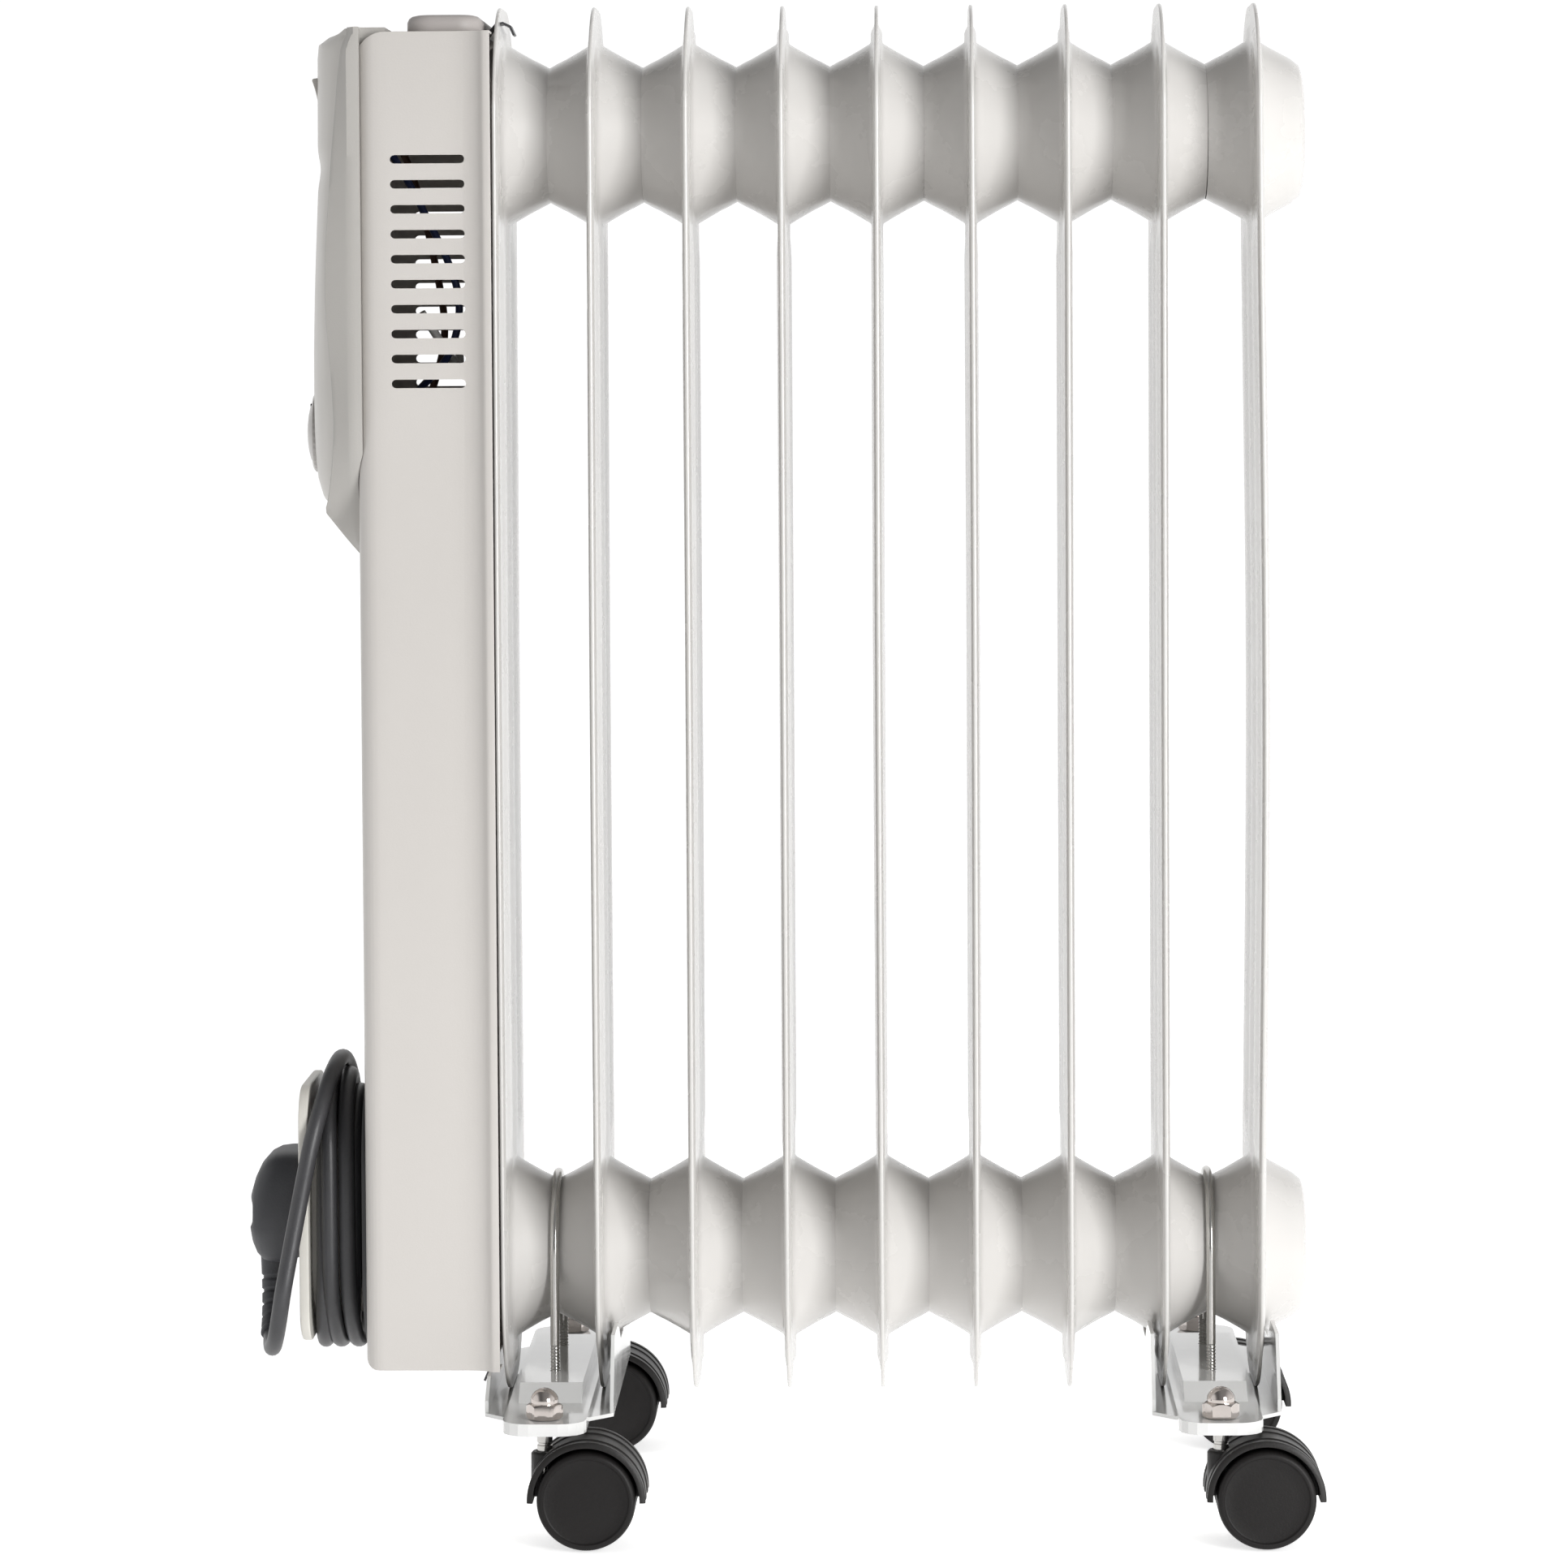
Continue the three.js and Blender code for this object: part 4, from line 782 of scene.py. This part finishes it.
def fascia_part(inset, back):
    """The fascia's body, moved in by a margin on its front and sides."""
    rings = []
    for z in levels(418.3 + inset, PANEL_HIGH - (inset and 2.4), 84):
        half = max(shield_half(*FASCIA, z) - inset, 0.4)
        seam = min(table_value(SEAM, z), back - FASCIA_LEAST_DEPTH) + inset
        crown = min(table_value(CROWN, z) + inset, seam)
        narrow = min(half / 20, 1.0)
        ring = [(back, half, z), (back, -half, z)]
        for step in range(-14, 15):
            across = step / 14
            bulge = (1 - abs(across) ** FASCIA_FALL) * narrow
            edge = 0.9 * ramp(0.96, 1.0, abs(across))
            ring.append((seam + (crown - seam) * bulge + edge, half * across, z))
        rings.append(ring)
    return loft(rings)


def bezel_part():
    """The plastic surround: sloping cheeks from the housing to a crisp edge at the fascia's seam."""
    rings = []
    for z in levels(PANEL_LOW, PANEL_HIGH, 84):
        half = shield_half(*SURROUND, z)
        seam = table_value(SEAM, z)
        cheek = max(-217, seam + 3)
        side = [(-211.8, half), (max(-214, cheek), half), (cheek, half * 0.996)]
        for k in range(1, 7):
            share = k / 7
            side.append((cheek + (seam + 0.8 - cheek) * share, half * (0.996 - 0.07 * share)))
        side += [(seam + 0.3, half * 0.921), (seam, half * 0.912), (seam, half * 0.82)]
        ring = [(u, v, z) for u, v in side] + [(u, -v, z) for u, v in reversed(side)]
        rings.append(ring)
    return loft(rings)


def shield_outline(half, foot, shoulder, top):
    """A shield seen from the front, as (y, z) points."""
    points = [(half, top), (-half, top)]
    return points + [(half * cos(a), shoulder + (shoulder - foot) * sin(a))
                     for a in (pi + pi * k / 48 for k in range(49))]


bezel = raw_object("panel_surround", bezel_part(), 30.0)
top_lip = raw_object("lip", box((-216.8, -56, HOUSING_HIGH - 14), (-201.5, 56, PANEL_HIGH)))
combine(bezel, [top_lip], "UNION")
body_room = housing_block("room", -0.3)
pocket = raw_object("pocket", prism("x", shield_outline(50.4, 417.4, 468, 640), -250, -216.6))
window_cut = raw_object("window_cut", box((-226, -38, 432), (-200, 38, 604)))
combine(bezel, [body_room, pocket, window_cut], sharp=30.0)
finish_piece(bezel, BEZEL_PLASTIC, "chassis", "panel_bezel")

fascia = raw_object("fascia", fascia_part(0.0, FASCIA_BACK), 30.0)
fascia_cutters = [raw_object("inside", fascia_part(FASCIA_SHEET, -205.0))]
fascia_cutters.append(raw_object("knob_hole",
    turned("x", (0, 0, KNOB_Z), [(-246, 0), (-246, 17.7), (-212, 17.7), (-212, 0)])))
for side in (-1, 1):
    outline = rounded_rect(side * ROCKER_Y, ROCKER_Z, 7.1, 11.0, 1.2, 4)
    fascia_cutters.append(raw_object("rocker_hole", prism("x", outline, -246, -220)))
combine(fascia, fascia_cutters, sharp=30.0)
round_edges(fascia, 0.35, 2, 60, 40)
finish_piece(fascia, PANEL_PLASTIC, "chassis", "control_fascia")


MARKS_RADIUS = 20.4


def dial_marks():
    """A ring of ticks in the fascia round the knob, longer towards the warm end."""
    parts = []
    for k in range(13):
        a = radians(225 - k * 22.5)
        r0, r1 = MARKS_RADIUS, MARKS_RADIUS + (1.6 + 0.16 * k)
        corners = []
        for r, w in ((r0, -0.45), (r0, 0.45), (r1, 0.45), (r1, -0.45)):
            corners.append((r * cos(a) - w * sin(a), KNOB_Z + r * sin(a) + w * cos(a)))
        rings = []
        for lift in (0.4, -0.25):
            ring = []
            for y, z in corners:
                seam = table_value(SEAM, z)
                crown = min(table_value(CROWN, z), seam)
                half = shield_half(*FASCIA, z)
                bulge = (1 - abs(y / half) ** MARKS_FALL) * min(half / 20, 1.0)
                ring.append((seam + (crown - seam) * bulge + lift, y, z))
            rings.append(ring)
        parts.append(loft(rings))
    return merge(*parts)


marks = raw_object("dial_marks", dial_marks())
finish_piece(marks, DARK_PLASTIC, "chassis")


def knob_part():
    """A knurled skirt under a smooth domed cap."""
    profile = [(-226, 14.8), (-226, 16.3), (-226.6, 17.0), (-235.4, 16.9), (-236.9, 16.5), (-237.6, 15.6),
               (-237.7, 13.6), (-237.9, 12.8), (-238.9, 11.2), (-239.6, 8.4), (-240.1, 5.0), (-240.3, 2.0),
               (-240.35, 0.001), (-231, 0.001), (-231, 14.8), (-226, 14.8)]
    verts, faces = turned("x", (0, 0, KNOB_Z), profile, 144)
    grip = []
    for k, (x, y, z) in enumerate(verts):
        radius = hypot(y, z - KNOB_Z)
        if radius > 16.2 and -236.5 < x < -226.3:
            share = 1 - 0.028 * (0.5 + 0.5 * cos(36 * atan2(z - KNOB_Z, y)))
            y, z = y * share, KNOB_Z + (z - KNOB_Z) * share
        grip.append((x, y, z))
    return grip, faces


knob = raw_object("knob_cap", knob_part(), 40.0)
finish_piece(knob, KNOB_PLASTIC, "knob", "thermostat_knob")
pointer = raw_object("knob_pointer", box((-239.2, -0.8, KNOB_Z + 5), (-236.8, 0.8, KNOB_Z + 12.2)))
round_edges(pointer, 0.35)
finish_piece(pointer, DARK_PLASTIC, "knob")


def rocker_part(side):
    """A rocker with a dished face, its upper end standing out."""
    profile = [(-3.3, 0), (-3.5, 3), (-3.9, 6.5), (-4.5, 9.6), (-4.0, 10.3), (-2.0, 10.3), (2.6, 9),
        (4.2, 0), (2.6, -9),
               (-2.0, -10.3), (-4.0, -10.3), (-4.5, -9.6), (-3.9, -6.5), (-3.5, -3)]
    tilt = -0.14
    rings = []
    for y in (-6.4, -5.9, 5.9, 6.4):
        shrink = 0.96 if abs(y) > 6 else 1.0
        ring = []
        for u, v in profile:
            u, v = u * shrink, v * shrink
            ring.append((ROCKER_PIVOT_X + u * cos(tilt) + v * sin(tilt), side * ROCKER_Y + y,
                         ROCKER_Z - u * sin(tilt) + v * cos(tilt)))
        rings.append(ring)
    return loft(rings)


for side, which in ((-1, "near"), (1, "far")):
    rocker = raw_object("rocker_cap_" + which, rocker_part(side), 40.0)
    round_edges(rocker, 0.4)
    finish_piece(rocker, PANEL_PLASTIC, "rocker_" + which, "rocker_1" if side < 0 else "rocker_2")

# ---------------------------------------------------------------- cord wrap
PLATE_FRONT, PLATE_BACK = -243.5, -239.5
plate_rings = []
for x, inset in ((PLATE_BACK, 0.4), (PLATE_BACK - 0.4, 0), (PLATE_FRONT + 1.1, 0), (PLATE_FRONT + 0.3, 0.4),
        (PLATE_FRONT, 1.2)):
    plate_rings.append([(x, u, v) for u,
        v in rounded_rect(0, WRAP_Z + 1, 39 - inset, 54 - inset, 16 - inset, 12)])
wrap = raw_object("wrap_plate", loft(plate_rings))
hub = raw_object("hub",
    prism("x", obround(0, WRAP_Z, 24, WRAP_HALF_STRAIGHT + 24, 24), PLATE_FRONT + 1, -217.4))
combine(wrap, [hub], "UNION")
slots = []
for _, pin_y, pin_z, half_y, half_z, pin_length in PLUG_PINS:
    low = (-250, pin_y - (half_y + 0.5), pin_z - (half_z + 0.5))
    high = (PLUG_FACE + pin_length + 0.7, pin_y + (half_y + 0.5), pin_z + (half_z + 0.5))
    slots.append(raw_object("pin_slot", box(low, high)))
combine(wrap, slots, sharp=40.0)
finish_piece(wrap, WRAP_PLASTIC, "chassis", "cord_wrap")

flange_rings = []
for x, inset in ((-214.3, 0), (-216.2, 0), (-216.9, 0.4), (-217.1, 1.2)):
    flange_rings.append([(x, u, v) for u, v in obround(0, WRAP_Z, 40.9 - inset, 61.4 - inset, 28)])
flange = raw_object("wrap_flange", loft(flange_rings))
combine(flange, [raw_object("hole",
    turned("x", (FRONT, GLAND_Y, GLAND_Z), [(-6, 0), (-6, 3.9), (6, 3.9), (6, 0)], 32))])
finish_piece(flange, DARK_PLASTIC, "chassis", "cord_wrap_base")

gland = raw_object("grommet",
    turned("z", (GLAND_X, GLAND_Y, 0), [(92, 0), (92, 3.2), (92.6, 3.7), (103, 3.72), (104, 3.66),
                                     (105, 3.72), (108, 3.7), (109, 3.64), (110, 3.7), (113, 3.68),
    (114, 3.62),
                                     (115, 3.66), (120.4, 3.62), (121, 3.55), (121, 0)], 32))
elbow = raw_object("elbow", box((-225, 24.5, 92), (-217.4, 31.8, 105)))
round_edges(elbow, 1.2)
stub = raw_object("stub",
    turned("x", (0, GLAND_Y, GLAND_Z), [(-219, 0), (-219, 3.4), (-208, 3.4), (-208, 0)], 32))
combine(gland, [elbow, stub], "UNION")
finish_piece(gland, DARK_PLASTIC, "chassis", "cord_gland")

# ---------------------------------------------------------------- brackets, U-bolts and nuts
nodes = frame["nodes"]


def dress(node, paint, width=0.4, angle=40.0):
    """A carried-over CAD node: rounded edges and a finish."""
    obj = nodes[node]
    obj.data.materials.clear()
    obj.data.materials.append(paint)
    modifier = obj.modifiers.new("round", "BEVEL")
    modifier.width = width / 1000
    modifier.segments = 2
    modifier.limit_method = "ANGLE"
    modifier.angle_limit = radians(angle)


for name in ("bracket_left", "bracket_right"):
    dress(name, BRACKET_PAINT, 0.5)
for name in ("top_clip", "bottom_clip"):
    dress(name, SPRING_STEEL, 0.2)
for k in range(1, 5):
    dress("wing_nut_%d" % k, PLATED, 0.3)
dress("heating_element", SPRING_STEEL, 0.1, 80.0)
dress("element_plug", PLATED, 0.3)
dress("thermostat_body", PHENOLIC, 0.6)
dress("switch_block", DARK_PLASTIC, 0.5)
dress("terminal_block", WRAP_PLASTIC, 0.8)
dress("tilt_switch", DARK_PLASTIC, 0.8)


LEG_Y = 31.0
THREAD_TOP = 68.0


LEG_LOW = 36


def u_bolt_path(x):
    """Up one leg, over the lower header and down the other leg."""
    points = [(x, -LEG_Y, LEG_LOW + 69 * k / 60) for k in range(60)]
    points += [(x, -LEG_Y * cos(a), HEADER_LOW + LEG_Y * sin(a)) for a in (pi * k / 40 for k in range(41))]
    points += [(x, LEG_Y, 105 - 69 * k / 60) for k in range(1, 61)]
    return points


def threaded_rod(x):
    """The bent rod, with a fine thread cut on both legs up to the bracket."""
    path = smooth_path(u_bolt_path(x), 860)

    def radius(i):
        height = path[i].z
        if height < THREAD_TOP:
            return 2.0 - 0.28 * (0.5 + 0.5 * cos(2 * pi * height / 1.4))
        return 1.95

    return sweep(path, radius, 12)


for x, which in zip(BRACKET_X, ("left", "right")):
    bolt = raw_object("u_rod_" + which, threaded_rod(x), 60.0)
    finish_piece(bolt, PLATED, "chassis", "u_bolt_" + which)


# ---------------------------------------------------------------- casters
def hexagon(x, y, flats):
    """A nut's outline, with its corners."""
    corner = flats / 2 / cos(pi / 6)
    return [(x + corner * cos(pi / 3 * k), y + corner * sin(pi / 3 * k)) for k in range(6)]


WHEEL_Z = 20.0
NUT_FLATS = 13
NUT_LOW = 50.8


def acorn(name, x, y):
    """A closed nut: a hexagon with both ends chamfered, under a dome."""
    base = NUT_LOW
    hexed = raw_object(name, prism("z", hexagon(x, y, NUT_FLATS), base, base + 6.0))
    cone = raw_object("cone",
        turned("z", (x, y, 0), [(base, 0), (base, 6.7), (base + 0.9, 7.55), (base + 5.0, 7.55),
                                                      (base + 6.0, 6.4), (base + 6.0, 0)], 48))
    combine(hexed, [cone], "INTERSECT")
    dome = raw_object("dome",
        turned("z", (x, y, base), [(4.0, 0), (4.0, 5.5), (6.4, 5.5), (7.2, 5.7), (8.6, 5.5), (9.9, 4.8),
                                                         (11.2, 3.6), (12.1, 2.0), (12.5, 0)], 48))
    combine(hexed, [dome], "UNION")
    round_edges(hexed, 0.25, 2, 30, 40)
    return hexed


def caster_hood(name, x, y):
    """Neck, web and the ridged cover over both wheels."""
    ax, az = x + CASTER_TRAIL, WHEEL_Z
    cover_profile = []
    for along, radius in ((-17.6, 21.6), (-17.6, 23.0), (-17.0, 24.0), (-14.4, 24.0), (-13.9, 23.5),
            (-10.2, 23.5), (-9.7, 24.0),
                          (-4.6, 24.0), (-4.1, 23.5), (4.1, 23.5), (4.6, 24.0), (9.7, 24.0), (10.2, 23.5),
            (13.9, 23.5),
                          (14.4, 24.0), (17.0, 24.0), (17.6, 23.0), (17.6, 21.6), (-17.6, 21.6)):
        cover_profile.append((along, radius))
    cover = raw_object(name, turned("y", (ax, y, az), cover_profile, 96))
    web = raw_object("web", turned("y", (ax, y, az), [(-3, 0), (-3, 22.6), (3, 22.6), (3, 0)], 96))
    combine(cover, [web], "UNION")
    combine(cover, [raw_object("under", box((x - 30, y - 30, -20), (x + 70, y + 30, az - 0.8)))])
    keel = raw_object("keel", turned("y", (ax, y, az), [(-3, 0), (-3, 9), (3, 9), (3, 0)], 64))
    axle = raw_object("axle",
        turned("y", (ax, y, az), [(-16.2, 0), (-16.2, 2.6), (16.2, 2.6), (16.2, 0)], 32))
    neck = raw_object("neck",
        turned("z", (x, y, 0), [(22.4, 0), (22.4, 5.4), (23.2, 5.75), (36.6, 5.6), (37.5, 4.8), (37.5, 0)],
        48))
    rooms = [raw_object("room", turned("y", (ax, y, az), [(a, 0), (a, 21.6), (b, 21.6), (b, 0)], 96)) for a,
        b in ((-26, -3.3), (3.3, 26))]
    combine(neck, rooms)
    combine(cover, [keel, axle, neck], "UNION")
    combine(cover, [raw_object("bore",
        turned("z", (x, y, 0), [(23.6, 0), (23.6, 3.4), (50, 3.4), (50, 0)], 32))])
    return cover


def wheel_profile(side):
    """One wheel disc: its tread, and a raised ring round the closed outer face."""
    rows = [(3.6, 2.95), (3.6, 18.6), (4.2, 19.5), (5.2, 20.0), (16.9, 20.0), (18.6, 19.7), (19.3, 19.1),
        (19.5, 18.2), (19.45, 17.5),
            (18.9, 17.1), (18.75, 16.6), (18.9, 12.0), (19.05, 6.5), (19.1, 0.001), (16.9, 0.001),
        (16.9, 2.95), (3.6, 2.95)]
    return [(side * along, radius) for along, radius in rows]


corners = [(-1, -1), (1, -1), (-1, 1), (1, 1)]
for number, (end, side) in enumerate(corners, 1):
    x, y = BRACKET_X[(end + 1) // 2], side * CASTER_Y
    stem = raw_object("pin_%d" % number,
        turned("z", (x, y, 0), [(24, 0), (24, 2.9), (25, 3.15), (39.8, 3.15), (40.1, 2.7), (40.9, 2.7),
                      (41.2, 3.15), (46, 3.15), (46.3, 5.6), (46.6, 6), (48.5, 6), (48.7, 5.6), (48.7, 3.1),
        (59.3, 3.1), (59.5, 0)], 40))
    finish_piece(stem, PLATED, "chassis", "caster_stem_%d" % number)
    nut = acorn("closed_nut_%d" % number, x, y)
    finish_piece(nut, NICKEL, "chassis", "acorn_nut_%d" % number)
    hood = caster_hood("hood_%d" % number, x, y)
    round_edges(hood, 0.3, 2, 50, 40)
    finish_piece(hood, BLACK_PLASTIC, "caster_%d" % number, "caster_hood_%d" % number)
    for key, half in (("a", -1), ("b", 1)):
        wheel = raw_object("wheel_disc_%d%s" % (number, key),
            turned("y", (x + CASTER_TRAIL, y, WHEEL_Z), wheel_profile(half), 96), 40.0)
        finish_piece(wheel, WHEEL_PLASTIC, "wheel_%d%s" % (number, key),
            "caster_wheel_%d%s" % (number, key))

# ---------------------------------------------------------------- wiring inside the housing
WIRES = [
    ("wire_1", WIRE_BROWN, 1.6,
    [(-190, 8, 462), (-184, 20, 490), (-188, 26, 520), (-200, 20, 566), (-212, 12, 584)]),
    ("wire_2", WIRE_BLUE, 1.6,
    [(-194, -10, 466), (-178, -26, 484), (-174, -30, 506), (-190, -20, 544), (-212, -12, 582)]),
    ("wire_3", WIRE_WHITE, 1.8, [(-192, 4, 438), (-178, 10, 420), (-176, 20, 380), (-196, 40, 342)]),
    ("wire_4", WIRE_BROWN, 1.6, [(-193, -6, 436), (-182, -14, 400), (-180, -20, 250), (-182, -12, 112)]),
    ("wire_5", WIRE_BLUE, 1.6, [(-197, 46, 299), (-190, 40, 250), (-182, 20, 150), (-182, 12, 112)]),
    ("wire_6", DARK_PLASTIC, 3.4, [(-208, 28, 97), (-202, 36, 130), (-198, 46, 200), (-198, 44, 298)]),
    ("wire_7", WIRE_WHITE, 1.8, [(-186, 24, 476), (-178, 6, 486), (-176, -14, 478), (-190, -24, 500)]),
]
for name, paint, radius, points in WIRES:
    wire = raw_object(name, sweep(smooth_path(points, 60), radius, 12), 60.0)
    finish_piece(wire, paint, "chassis")


# ---------------------------------------------------------------- floor, light and world
def add_stage():
    """A white floor that glows behind the heater, so that it meets the white background unseen."""
    mesh = bpy.data.meshes.new("floor")
    mesh.from_pydata([(-12, -8, 0), (12, -8, 0), (12, 16, 0), (-12, 16, 0)], [], [(0, 1, 2, 3)])
    floor = bpy.data.objects.new("floor", mesh)
    bpy.context.collection.objects.link(floor)
    floor.location.z = -0.0005
    paint = material("floor_paint", (0.93, 0.93, 0.93), 0.6, tone=0.003, grain=0.02)
    shader = paint.node_tree.nodes["Principled BSDF"]
    where = paint.node_tree.nodes.new("ShaderNodeTexCoord")
    split = paint.node_tree.nodes.new("ShaderNodeSeparateXYZ")
    glow = paint.node_tree.nodes.new("ShaderNodeMapRange")
    glow.inputs["From Min"].default_value = -0.9
    glow.inputs["From Max"].default_value = -0.35
    glow.inputs["To Max"].default_value = FLOOR_GLOW
    paint.node_tree.links.new(where.outputs["Object"], split.inputs["Vector"])
    paint.node_tree.links.new(split.outputs["Y"], glow.inputs["Value"])
    paint.node_tree.links.new(glow.outputs["Result"], shader.inputs["Emission Strength"])
    shader.inputs["Emission Color"].default_value = (1, 1, 1, 1)
    floor.data.materials.append(paint)


def add_light(name, where, size, power, target=(0, 0, 0.3)):
    data = bpy.data.lights.new(name, "AREA")
    data.shape = "RECTANGLE"
    data.size, data.size_y = size
    data.energy = power
    light = bpy.data.objects.new(name, data)
    bpy.context.collection.objects.link(light)
    light.location = where
    light.rotation_euler = (Vector(target) - Vector(where)).to_track_quat("-Z", "Y").to_euler()


def add_world():
    """A room that is white behind the heater, and elsewhere as bright as WORLD_ACROSS says."""
    world = bpy.data.worlds.new("world")
    world.use_nodes = True
    nodes, links = world.node_tree.nodes, world.node_tree.links
    where = nodes.new("ShaderNodeTexCoord")
    split = nodes.new("ShaderNodeSeparateXYZ")
    links.new(where.outputs["Generated"], split.inputs["Vector"])
    across = nodes.new("ShaderNodeValToRGB")
    stops = across.color_ramp.elements
    stops[0].position, stops[1].position = 0.0, 1.0
    for at, level in WORLD_ACROSS:
        stop = stops.new(at)
        stop.color = (level, level, level, 1)
    stops[0].color = (WORLD_ACROSS[0][1],) * 3 + (1,)
    stops[-1].color = (WORLD_ACROSS[-1][1],) * 3 + (1,)
    spread = nodes.new("ShaderNodeMapRange")
    spread.inputs["From Min"].default_value = -1
    links.new(split.outputs["X"], spread.inputs["Value"])
    links.new(spread.outputs["Result"], across.inputs["Fac"])
    behind = nodes.new("ShaderNodeMapRange")
    behind.interpolation_type = "SMOOTHSTEP"
    behind.inputs["From Min"].default_value = 0.55
    behind.inputs["From Max"].default_value = 0.9
    links.new(split.outputs["Y"], behind.inputs["Value"])
    mix = nodes.new("ShaderNodeMixRGB")
    links.new(behind.outputs["Result"], mix.inputs["Fac"])
    links.new(across.outputs["Color"], mix.inputs["Color1"])
    mix.inputs["Color2"].default_value = (1, 1, 1, 1)
    background = nodes["Background"]
    links.new(mix.outputs["Color"], background.inputs["Color"])
    background.inputs["Strength"].default_value = WORLD_STRENGTH
    bpy.context.scene.world = world


FLOOR_GLOW = 0.62
KEY_PLACE, KEY_SIZE, KEY_POWER = (2.05, -2.85, 0.95), (1.2, 1.9), 102
WORLD_STRENGTH = 1.05
# brightness by direction, from 0 at the heater's left to 1 at its right
WORLD_ACROSS = ((0.0, 1.0), (0.1, 0.85), (0.2, 0.2), (0.3, 0.13), (0.5, 0.27), (0.75, 0.3), (1.0, 0.1))
add_stage()
add_light("key", KEY_PLACE, KEY_SIZE, KEY_POWER)
add_world()
bpy.context.scene.view_settings.view_transform = "Standard"
